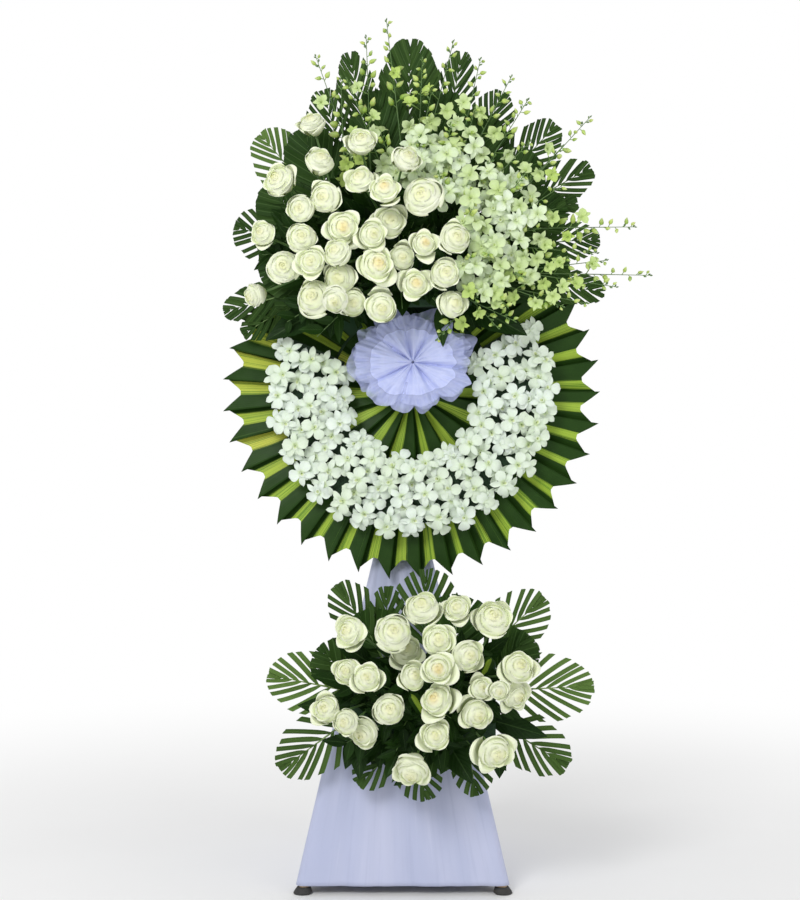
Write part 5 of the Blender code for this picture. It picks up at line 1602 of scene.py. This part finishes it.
def add_tip(build, points, rng):
    """The thin dark end of a spray with its smallest buds."""
    end, ahead = points[-1], (points[-1] - points[-2]).normalized()
    side = ahead.cross(FRONT).normalized()
    for k in range(3):
        way = (ahead + side * (0.7 if k % 2 else -0.7) + Vector((0, -0.4, 0))).normalized()
        foot = end - ahead * (0.004 + 0.010 * k)
        add_bud(build, foot, way, 0.007 + 0.002 * k, rng, 1)
    add_bud(build, end - ahead * 0.002, ahead, 0.008, rng, 1)


# Roses


def rose_profile(share, shut):
    """Widest radius and top of the petal at this share of the way out, of a rose of radius one."""
    reach = (0.06 + 0.76 * share**1.05) * (1 + 0.14 * shut)
    return reach, 0.58 + 0.16 * shut - 0.08 * share - (0.44 - 0.22 * shut) * share**2.6


def rose_grids(rng, shut):
    """Petals of a rose of radius one that looks along +Z, from the heart out; shut from 0 to 1."""
    shape = (ROSE_PETALS, 1, 1)
    share = np.linspace(0, 1, ROSE_PETALS).reshape(shape)
    v = np.linspace(0, 1, 12)[None, :, None]
    u = np.linspace(-1, 1, 13)[None, None, :]
    side = np.abs(u)
    turn = np.arange(ROSE_PETALS).reshape(shape) * GOLDEN_TURN + rng.uniform(-0.30, 0.30, shape)
    reach, top = rose_profile(share, shut)
    reach = reach * (1 + rng.uniform(-0.06, 0.06, shape) * share**0.5)
    top = top + rng.uniform(-0.05, 0.03, shape)
    half = 1.65 - 0.72 * share**0.7 + rng.uniform(-0.12, 0.08, shape)
    spread = share**1.7 * (1 - 0.75 * shut)
    inward = 0.60 * np.clip(1 - share / 0.5, 0, 1) + 0.22 * shut * share
    belly = np.sin(math.pi * (0.10 + 0.55 * v)) ** 0.75
    radial = reach * belly * (1 - inward * np.clip((v - 0.5) / 0.5, 0, 1) ** 1.5)
    radial = radial + (0.24 + rng.uniform(-0.10, 0.08, shape)) * spread * v**3.2 * (1 - 0.85 * side**2)
    rim = np.clip((v - 0.82) / 0.18, 0, 1)
    roll = (0.006 + 0.050 * spread) * (1 + rng.uniform(-0.6, 0.8, shape))
    point = rng.uniform(-0.02, 0.20, shape) * share**2
    radial = radial + roll * rim**1.2 * (1 - 0.6 * side**2) + point * rim**1.6 * (1 - side) ** 1.3
    radial = radial + (0.024 * u - 0.050 * share**1.5 * side**3) * v
    z = -0.72 + (top + 0.72) * (1 - (1 - v) ** 1.5) - (0.06 + 0.26 * share) * side**2.2 * v**1.5
    z = z - roll * 1.4 * rim**2 - 0.05 * spread * v**6
    wave = rng.uniform(0, 6, shape)
    radial = radial + (0.006 + 0.026 * share) * np.sin(3.3 * u + wave) * v**2
    z = z + (0.010 + 0.026 * share) * np.sin(4.3 * u + 2 * wave) * v**3
    angle = turn + u * half * (0.82 + 0.18 * np.sin(math.pi * v * 0.85))
    return ring(angle, radial, z), stack(u, v, share)


def rose_core(shut):
    """The full body of the bloom that fills the space between its petals."""
    share = np.linspace(0, 1, 10)
    reach, top = rose_profile(share, shut)
    radius = np.concatenate([[0.003], reach * 0.86])[:, None]
    height = np.concatenate([[top[0] - 0.05], top - 0.07 - 0.13 * share])[:, None]
    turn = full_turn(20)
    out = np.concatenate([[0.0], share])[:, None]
    return ring(turn, radius, height), stack(turn, 0.6, out)


def add_rose(build, centre, facing, radius, spin, warm, foot, rng):
    """A rose: petals round a full heart, the green cup with its sepals, and the stem to its foot."""
    tilt = Vector(rng.uniform(-0.30, 0.30, 3)) + Vector((0, 0, 0.10))
    axes = axes_round(facing + tilt, spin)
    shut = 0.0 if warm else rng.uniform(0.0, 1.0) ** 1.3
    tone = 0.95 if warm else rng.uniform(0.0, 0.45)
    petals, petal_flow = rose_grids(rng, shut)
    core, core_flow = rose_core(shut)
    outermost = np.linalg.norm(petals[-6:, 6:, :, :2], axis=-1).max(axis=1)
    size = radius * 1.03 / np.percentile(outermost, 65)
    build.sheets(set_in(petals, centre, axes, size), petal_flow, tone, 0)
    build.sheets(set_in(core, centre, axes, size), core_flow, tone, 0, closed=True)
    v, turn = round_grid(6, 12)
    cup = ring(turn, 0.09 + 0.16 * np.sin(math.pi * 0.62 * v), -0.98 + 0.36 * v)
    build.sheets(set_in(cup, centre, axes, radius), stack(turn, v, 0.0), 0.5, 1, closed=True)
    for k in range(5):
        v, u = grid(7, 3)
        width = 0.12 * (1 - v) ** 0.8 + 0.004
        out = 0.22 + 0.42 * v
        turned = FULL_TURN * k / 5 + width * u / np.maximum(out, 0.2)
        height = -0.66 + 0.16 * v - rng.uniform(0.1, 0.6) * v**2 + 0.03 * np.abs(u)
        build.sheets(set_in(ring(turned, out, height), centre, axes, radius), stack(u, v, 0.0), 0.5, 1)
    neck = centre - axes[2] * radius * 0.95
    bend = neck - axes[2] * radius * 0.8
    line = curve_through(neck, (bend + (neck + foot) / 2) / 2, foot, 10)
    build.tube(array(line), STEM_RADIUS * 0.92, 7, 2, 0.10)


def build_roses(bouquet, places, looks):
    """The bouquet's roses, with the peg of each group."""
    rng = np.random.default_rng(bouquet["seeds"]["petals"])
    for group, hub, inward, heads in places:
        bunch = Build()
        entry = hub + inward * HUB_OUT
        bunch.tube(array([hub - inward * PEG_HEAD, entry + inward * PEG_DEPTH]), PEG, 8, 2, 0.45)
        for number, (centre, facing, radius, spin, warm) in enumerate(heads):
            aside = axes_round(inward, number * GOLDEN_TURN)[0] * PEG * 0.6
            add_rose(bunch, centre, facing, radius, spin, warm, entry + aside, rng)
        node = f"{bouquet['name']}_roses_{group}"
        bunch.piece(node + "_petals", looks["rose"], [node])


# Fronds


def add_frond(build, foot, tip, half_width, cut, bare, tone, fill, rng):
    """A palm frond cut to a round end: straight folded leaflets fan off a rib, cut along one outline."""
    along = tip - foot
    length = along.length
    along.normalize()
    forward = square_to(along, FRONT)
    side = along.cross(forward)
    blade_from = bare / length
    axes = array([side, along, forward])
    base = np.array(foot)
    ribbed, last_sweep, pitch, leaflet_half = cut
    rib_end = blade_from + (1 - blade_from) * ribbed
    pairs = round((rib_end - blade_from) * length / pitch)

    def bow(share):
        return FROND_BOW * np.sin(math.pi * np.clip(share - blade_from, 0, None) / (1 - blade_from))

    def outline(share):
        """Half the frond's width here, as cut."""
        middle = np.clip((share - blade_from) / (1 - blade_from), 0, 1)
        return half_width * np.sqrt(1 - np.clip((middle - 0.40) / 0.60, 0, 1) ** 2.2)

    def cut_off(start_x, start_y, sweep):
        """How long a strip of a leaflet from here is where it meets the outline."""
        reach = np.linspace(0.004, 3.4 * half_width, 200)[:, None]
        ahead = start_y + reach * math.cos(sweep)
        outside = (start_x + reach * math.sin(sweep) > outline(ahead / length)) | (ahead > 0.985 * length)
        return reach[outside.argmax(axis=0), 0][None, :]

    shares = np.concatenate([[-FROND_LEAD_IN / length], np.linspace(0, rib_end, 24)])
    rib = base + stack(shares * 0, shares * length, bow(shares)) @ axes
    build.tube(rib, 0.0027 * (1 - 0.75 * np.clip(shares / rib_end, 0, 1)), 6, 1, tone)
    v, u = grid(8, 5)
    for pair in range(pairs + 1):
        fan = (pair / pairs) ** 1.15
        for hand in (-1, 1):
            number = pair + (0.25 if hand > 0 and pair < pairs else 0.0)
            at = blade_from + (rib_end - blade_from) * number / pairs
            sweep = math.radians(FROND_SWEEP + (last_sweep - FROND_SWEEP) * fan + rng.uniform(-3, 3))
            half = leaflet_half * (1 - 0.25 * fan)
            if fill:
                half = fill * 0.5 * pitch * math.sin(sweep + 0.10)
            half = half * rng.uniform(0.90, 1.06)
            strip = u[0] * half
            start_x, start_y = strip * math.cos(sweep), at * length - strip * math.sin(sweep)
            reach = cut_off(start_x, start_y, sweep) * (1 - rng.uniform(0, 0.07))
            narrow = 0.30 + 0.70 * np.clip(v / 0.22, 0, 1) ** 0.8
            bend = rng.uniform(0.0, 0.06) * v**2
            out, strip = reach * v, strip * narrow
            x = out * (math.sin(sweep) - bend * math.cos(sweep)) + strip * math.cos(sweep)
            y = at * length + out * (math.cos(sweep) + bend * math.sin(sweep)) - strip * math.sin(sweep)
            twist = rng.uniform(-0.5, 0.5)
            fold = 0.25 * half * narrow * (1 - np.abs(u))
            z = bow(at) + 0.0012 * (1 + pair % 2) - fold + twist * strip * 0.5
            z = z - rng.uniform(0.0, 0.007) * v**2
            points = base + stack(hand * x, y, z) @ axes
            flow = stack(u, v, rng.uniform(0, 9))
            build.sheets(points, flow, np.clip(tone + rng.uniform(-0.12, 0.12), 0, 1), 0)


def build_fronds(bouquet, looks):
    """The bouquet's fronds, and the extra ones behind its flowers, which stand for no node."""
    rng = np.random.default_rng(bouquet["seeds"]["fronds"])
    prefix, (narrower, *cut) = bouquet["name"], bouquet["cut"]
    for name, fronds in {**bouquet["fronds"], "backing": MORE_FRONDS[prefix]}.items():
        group = Build()
        node = f"{prefix}_frond_{name}"
        extra = name == "backing"
        tone = FRESH_FRONDS.get(f"{prefix}_{name}", bouquet["green"])
        fill = BACKING_FILL if extra else DENSE_FRONDS.get(f"{prefix}_{name}", 0)
        bare = BACKING_BARE if extra else bouquet["bare"]
        for foot, tip, half_width, *depths in fronds:
            start, end = Vector((foot[0] * MM, depths[0], foot[1] * MM)), placed(*tip, depths[-1])
            add_frond(group, start, end, half_width * MM * narrower, cut, bare, tone, fill, rng)
        group.piece(node + "_leaflets", looks["frond"], [] if extra else [node])


# Filler


def add_leaf(build, root, out, across, length, half_width, rng, tone=None, droop=0.10):
    """A pointed leaf with a midrib fold, waved edges and a drooping tip."""
    lift = out.cross(across).normalized()
    if lift.y > 0:
        lift = -lift
    v, u = grid(9, 5)
    width = half_width * np.maximum(np.sin(math.pi * v**0.85) ** 0.85 * (1 - 0.25 * v), 0.02)
    wave = 0.05 * half_width * np.sin(9 * v + rng.uniform(0, 6)) * u
    fold = 0.28 * half_width * np.abs(u) * np.sin(math.pi * np.clip(v, 0.02, 1))
    local = stack(u * width, v * length, fold + wave - droop * length * v**2)
    points = set_in(local, root, (across, out, lift), 1.0)
    build.sheets(points, stack(u, v, rng.uniform(0, 9)), rng.uniform(0, 1) if tone is None else tone, 0)


def add_twig(build, root, out, length, room, rng):
    """A leafy twig: a thin stem with pointed leaves to both sides, left off where a flower head stands."""
    end = root + out * length + Vector((0, 0, -0.10 * length))
    points = curve_through(root - out * 0.014, (root + end) / 2 + Vector((0, -0.012, 0)), end, 10)
    build.tube(array(points), np.linspace(0.0016, 0.0008, 11), 5, 1, 0.2)
    count = max(4, round(length / 0.016))
    for k in range(count):
        point, ahead = along_curve(points, 0.22 + 0.76 * (k + 0.5) / count)
        side = ahead.cross(FRONT).normalized() * (1 if k % 2 else -1)
        way = ahead * rng.uniform(0.6, 1.0) + side * rng.uniform(0.6, 1.0) + FRONT * rng.uniform(-0.25, 0.5)
        way.normalize()
        size = rng.uniform(0.040, 0.062) * (1 - 0.25 * k / count)
        if tip_free(room, point, way, size, 0.3, 0.10) < TWIG_CLEAR:
            continue
        across = square_to(way, way.cross(FRONT).normalized() + FRONT * rng.uniform(-0.5, 0.5))
        add_leaf(build, point, way, across, size, size * rng.uniform(0.20, 0.27), rng)


def tip_free(room, root, out, size, share, thick):
    """How free the outer part of a small leaf is, from this share of its length."""
    return room.gap(root + out * size * share, root + out * size, size * thick, None, ("head", "net"))


def add_small_leaf(build, root, out, sizes, widths, room, rng):
    """One leaf of the cover or the fringe, left off where a flower head stands."""
    size = rng.uniform(*sizes)
    if tip_free(room, root, out, size, 0.4, 0.12) > TWIG_CLEAR:
        across = (out.cross(FRONT).normalized() + FRONT * rng.uniform(-0.3, 0.3)).normalized()
        add_leaf(build, root, out, across, size, size * rng.uniform(*widths), rng)


def build_foam(bouquet, leaves, room, looks):
    """The foam block with its filler leaves, the small leaves over it and the leafy twigs out of it."""
    rng = random.Random(bouquet["seeds"]["foam"])
    name, foam, twigs = bouquet["name"] + "_foam", bouquet["foam"], bouquet["twigs"]
    block = Build()
    foam_block(block, foam, 2)
    for root, out, across, length, half_width in leaves:
        add_leaf(block, root - out * 0.012, out, across, length + 0.012, half_width, rng, None, 0.02)
    low, high = foam
    for _ in range(twigs["cover"]):
        root = Vector((rng.uniform(low.x, high.x), low.y + 0.004, rng.uniform(low.z, high.z)))
        turn = rng.uniform(0, FULL_TURN)
        out = (Vector((math.cos(turn), 0, math.sin(turn))) + FRONT * rng.uniform(0.15, 0.9)).normalized()
        add_small_leaf(block, root, out, (0.045, 0.075), (0.24, 0.32), room, rng)
    for _ in range(twigs["fringe"]):
        across, deep = rng.uniform(low.x - 0.01, high.x + 0.01), rng.uniform(low.y, high.y - 0.012)
        root = Vector((across, deep, low.z + 0.006))
        out = Vector((rng.uniform(-0.9, 0.9), rng.uniform(-0.5, 0.0), -1)).normalized()
        add_small_leaf(block, root, out, (0.045, 0.080), (0.22, 0.30), room, rng)
    for number in range(twigs["count"]):
        turn = number * GOLDEN_TURN
        ahead = twigs["ahead"][number % 3] + rng.uniform(-0.08, 0.08)
        wide, tall = twigs["reach"]
        out = Vector((math.cos(turn) * wide, -ahead, math.sin(turn) * tall)).normalized()
        root = on_block(foam, out)
        length = rng.uniform(*twigs["lengths"]) * (1 - 0.2 * ahead)
        if room.gap(root, root + out * length, 0.004, None, ("net",)) > 0:
            add_twig(block, root, out, length, room, rng)
    if bouquet is TOP:
        out = Vector(ROSETTE_LEAF["out"]).normalized()
        across = (out.cross(FRONT) + FRONT * 0.15).normalized()
        sizes = ROSETTE_LEAF["length"], ROSETTE_LEAF["half_width"]
        add_leaf(block, Vector(ROSETTE_LEAF["root"]), out, across, *sizes, rng, 0.9, 0.04)
    block.piece(name + "_leaves", looks["filler"], [name])


def build_straps(looks):
    """Strap leaves that stand out of the lower foam between the roses."""
    rng = random.Random(SEEDS["straps"])
    straps = Build()
    for low_end, high_end in LOW_STRAPS:
        root, tip = placed(*low_end, LOW_FOAM[0].y + 0.006), placed(*high_end, LOW_FOAM[0].y - 0.052)
        along = tip - root
        across = along.cross(Vector((0, 1, 0))).normalized()
        lift = across.cross(along).normalized()
        v, u = grid(12, 9)
        half = STRAP_HALF_WIDTH * np.minimum(1, 2.6 * np.sqrt(np.clip(1 - v, 0, 1))) * np.ones_like(u)
        rise = 0.006 * np.abs(u) - 0.12 * along.length * v**2
        local = stack(u * half, v * along.length, rise)
        points = set_in(local, root, (across, along.normalized(), lift), 1.0)
        straps.sheets(points, stack(0.5 * u - 0.14, 0.3 * v, rng.uniform(0, 9)), 0.55)
    straps.piece("lower_strap_leaves", looks["strap"], ())


# Rosette


def net_layer(centre, reach, puffs, seed, lift, wave, crush):
    """A round of net drawn together at its middle: broad puffs with creases between, a crumpled edge."""
    rng = np.random.default_rng(seed)
    v, turn = round_grid(NET_ROWS, NET_COLUMNS)
    phases = rng.uniform(0, FULL_TURN, 9)
    share = 0.03 + 0.97 * v
    drift = 1.2 * np.sin(2 * turn + phases[0]) + 1.0 * np.sin(3 * turn + phases[1]) + 0.4 * np.sin(5 * turn)
    crest = np.abs(np.sin(0.5 * puffs * turn + 0.45 * drift + 0.25 * share)) ** 0.6
    valley = (1 - crest) * np.minimum(share * 4, 1) * (1 - 0.45 * share)
    small = np.sin((2 * puffs + 3) * turn + 3 * drift + phases[3] + 2.5 * share)
    broad = 0.9 * np.sin(2 * turn + phases[8]) + 0.6 * np.sin(3 * turn + phases[7] + 3 * share)
    creases = 0.0
    for at in np.cumsum(rng.uniform(0.30, 0.90, 11)):
        apart = (turn - at - rng.uniform(-0.5, 0.5) * share + math.pi) % FULL_TURN - math.pi
        width = 0.045 + 0.090 * share
        fade = np.clip(1 - share / rng.uniform(0.35, 0.9), 0, 1) ** 0.6
        creases = creases + np.exp(-((apart / width) ** 2)) * fade * rng.uniform(0.3, 1.0)
    crumple = np.sin(31 * turn + phases[4] + 7 * v) + 0.8 * np.sin(47 * turn + phases[5] - 6 * v)
    crumple = crumple + 0.7 * np.sin(19 * turn + 14 * v + phases[6])
    edge = 1 - (0.10 + 0.05 * crush) * (1 - crest) * share**3 + 0.035 * np.sin(3 * turn + phases[7])
    edge = edge + 0.008 * crush * np.sin(17 * turn + phases[8] + drift) * share
    flares = 0.0
    for at in np.cumsum(rng.uniform(0.20, 0.42, 20)):
        apart = (turn - at + math.pi) % FULL_TURN - math.pi
        flares = flares + np.exp(-np.abs(apart / rng.uniform(0.07, 0.17)) ** 1.6) * rng.uniform(-0.9, 1.0)
    edge = edge + (0.045 + 0.035 * crush) * flares * share**2
    radius = share * edge
    bowl = lift * np.sin(math.pi * 0.60 * share) ** 0.8
    depth = -bowl - wave * share**0.8 * (0.5 * broad * share + (0.12 + 0.05 * share**3) * small)
    depth = depth + 1.9 * wave * valley + 0.0080 * creases * np.minimum(share * 5, 1)
    depth = depth - wave * share**3 * (0.9 * flares + 0.3 * np.sin(11 * turn + 2 * drift + phases[2]))
    depth = depth - crush * 0.0016 * share**3 * crumple
    points = stack(np.cos(turn) * radius * reach[0], depth, np.sin(turn) * radius * reach[1])
    return points + np.array(centre), stack(turn * 0.08, share * 0.1, 0.0)


def build_rosette(looks):
    """The three rounds of net and the tie that holds their middle."""
    for name, off, reach, puffs, seed, lift, wave, crush, cut in NET_LAYERS:
        layer = Build()
        points, flow = net_layer(ROSETTE + Vector(off), reach, puffs, seed, lift, wave, crush)
        sheer = 14 if name == "rosette_front" else 8
        layer.sheets(points[: sheer + 1], flow[: sheer + 1], 0.5, 0, closed=True)
        layer.sheets(points[sheer:], flow[sheer:], 0.5, 1, closed=True)
        made = layer.piece(name, looks["net"], ["rosette"])
        weld(made)
    tie = Build()
    turns = full_turn(36)
    depth, size = np.array(TIE).T[..., None]
    size = size * (1 + 0.14 * np.sin(9 * turns) + 0.08 * np.sin(14 * turns))
    points = stack(np.cos(turns) * size, depth, np.sin(turns) * size) + np.array(ROSETTE)
    tie.sheets(points, stack(turns * 0.02, depth, 0.0), 0.5, 0, closed=True)
    tie.piece("rosette_tie", looks["net"][:1], ())


def weld(made):
    """Joins points that lie on each other, where two stretches of a sheet meet."""
    mesh = bmesh.new()
    mesh.from_mesh(made.data)
    bmesh.ops.remove_doubles(mesh, verts=mesh.verts, dist=1e-6)
    mesh.to_mesh(made.data)
    mesh.free()


# Skirt


def skirt_line(z):
    """Points and outward ways round the three legs at height z, before folds, closed."""
    reach = LEG_RADIUS + CLOTH_CLEAR + CLOTH
    corners = [leg_line(-1, z), leg_line(1, z), leg_line(0, z)]
    spots, ways = [], []
    upward = math.sin(math.pi * min(z / SKIRT_TOP, 1)) ** 0.7
    for k, corner in enumerate(corners):
        before, after = corners[k - 1], corners[(k + 1) % 3]
        turn_in = math.atan2(-(corner - before).x, (corner - before).y)
        turn_out = math.atan2(-(after - corner).x, (after - corner).y)
        while turn_out < turn_in:
            turn_out += FULL_TURN
        for share in np.linspace(0, 1, 9)[:-1]:
            angle = turn_in + (turn_out - turn_in) * share
            way = Vector((math.cos(angle), math.sin(angle), 0))
            spots.append(corner + way * reach)
            ways.append(way)
        way = Vector((math.cos(turn_out), math.sin(turn_out), 0))
        for share in np.linspace(0, 1, 17)[:-1]:
            billow = SKIRT_BILLOW * math.sin(math.pi * share) * upward
            spots.append(corner.lerp(after, share) + way * (reach + billow))
            ways.append(way)
    return array(spots), array(ways)


def build_skirt(looks):
    """The cloth hung round the legs in soft upright folds, open above and below and round the arm."""
    heights = np.linspace(SKIRT_HEM, SKIRT_TOP, SKIRT_ROWS)
    share = np.linspace(0, 1, SKIRT_COLUMNS, endpoint=False)
    turn = FULL_TURN * share
    rows = []

    def spread(values, lengths):
        """The values at even distances round the cloth."""
        return stack(*[np.interp(share * lengths[-1], lengths, values[:, k]) for k in range(3)])

    for z in heights:
        spots, ways = (np.concatenate([given, given[:1]]) for given in skirt_line(z))
        lengths = run_lengths(spots)
        line, way = spread(spots, lengths), spread(ways, lengths)
        upward = (z - SKIRT_HEM) / (SKIRT_TOP - SKIRT_HEM)
        fold = 0.55 * np.sin(11 * turn + 0.8 * math.sin(2.2 * upward) + 0.7 * np.sin(2 * turn))
        fold += 0.30 * np.sin(23 * turn + 1.2 * upward + np.sin(3 * turn))
        fold += 0.18 * np.sin(41 * turn + 2.0 * upward)
        depth = FOLD_DEPTH * (1.25 - z) * np.clip(0.55 + 0.5 * fold, 0, 1.25)
        rows.append(line + unit(way) * depth[:, None])
    skirt = Build()
    skirt.sheets(np.array(rows), stack(share[None, :] * SKIRT_CUT[0], heights[:, None], 0.0), closed=True)
    made = skirt.piece("skirt_cloth", looks["cloth"], ["skirt"])
    cut_arm_hole(made)
    thick = made.modifiers.new("thickness", "SOLIDIFY")
    thick.thickness, thick.offset = CLOTH, 0.0


def cut_arm_hole(made):
    """Opens the cloth in front where the bracket's arm passes through."""
    mesh = bmesh.new()
    mesh.from_mesh(made.data)
    half_width, half_height = ARM_HALF_WIDTH + HOLE_CLEAR, ARM_HALF_HEIGHT + HOLE_CLEAR
    cuts = [((BRACKET_MIDDLE + side * half_width + SHIFT[0], 0, 0), (1, 0, 0)) for side in (-1, 1)]
    cuts += [((0, 0, ARM_HEIGHT + side * half_height), (0, 0, 1)) for side in (-1, 1)]
    for place, way in cuts:
        geometry = mesh.verts[:] + mesh.edges[:] + mesh.faces[:]
        bmesh.ops.bisect_plane(mesh, geom=geometry, plane_co=place, plane_no=way)
    inside = []
    for face in mesh.faces:
        middle = face.calc_center_median()
        across = abs(middle.x - SHIFT[0] - BRACKET_MIDDLE) < half_width
        if across and abs(middle.z - ARM_HEIGHT) < half_height and middle.y < SHIFT[1]:
            inside.append(face)
    bmesh.ops.delete(mesh, geom=inside, context="FACES")
    mesh.to_mesh(made.data)
    mesh.free()


# Nodes that keep the part's own shape


def dress_node(name, look):
    """Gives a node of the part a material and eased edges."""
    node = frame["nodes"][name]
    node.data.materials.clear()
    node.data.materials.append(look)
    eased = node.modifiers.new("eased_edges", "BEVEL")
    eased.width, eased.segments, eased.limit_method = 0.0012, 2, "ANGLE"


def main():
    build_camera()
    build_lights()
    build_floor()
    looks = make_looks()
    build_tripod(looks)
    dress_node("lower_bracket", looks["timber"][0])
    dress_node("batten_lower", looks["batten"][0])
    dress_node("batten_upper", looks["batten"][0])
    build_board(looks)
    build_skirt(looks)
    build_board_leaves(looks)
    build_band(looks)
    build_rosette(looks)

    room = Room()
    take_rosette(room)
    roses = rose_places(TOP, room)
    bunches = spray_places(room)
    leaves = leaf_places(TOP, room)
    add_sprays(bunches, room)
    build_roses(TOP, roses, looks)
    build_sprays(bunches, room, looks)
    build_fronds(TOP, looks)
    keep_front_clear(room)
    build_foam(TOP, leaves, room, looks)

    room = Room()
    roses = rose_places(LOWER, room)
    leaves = leaf_places(LOWER, room)
    build_roses(LOWER, roses, looks)
    build_fronds(LOWER, looks)
    build_foam(LOWER, leaves, room, looks)
    build_straps(looks)


main()
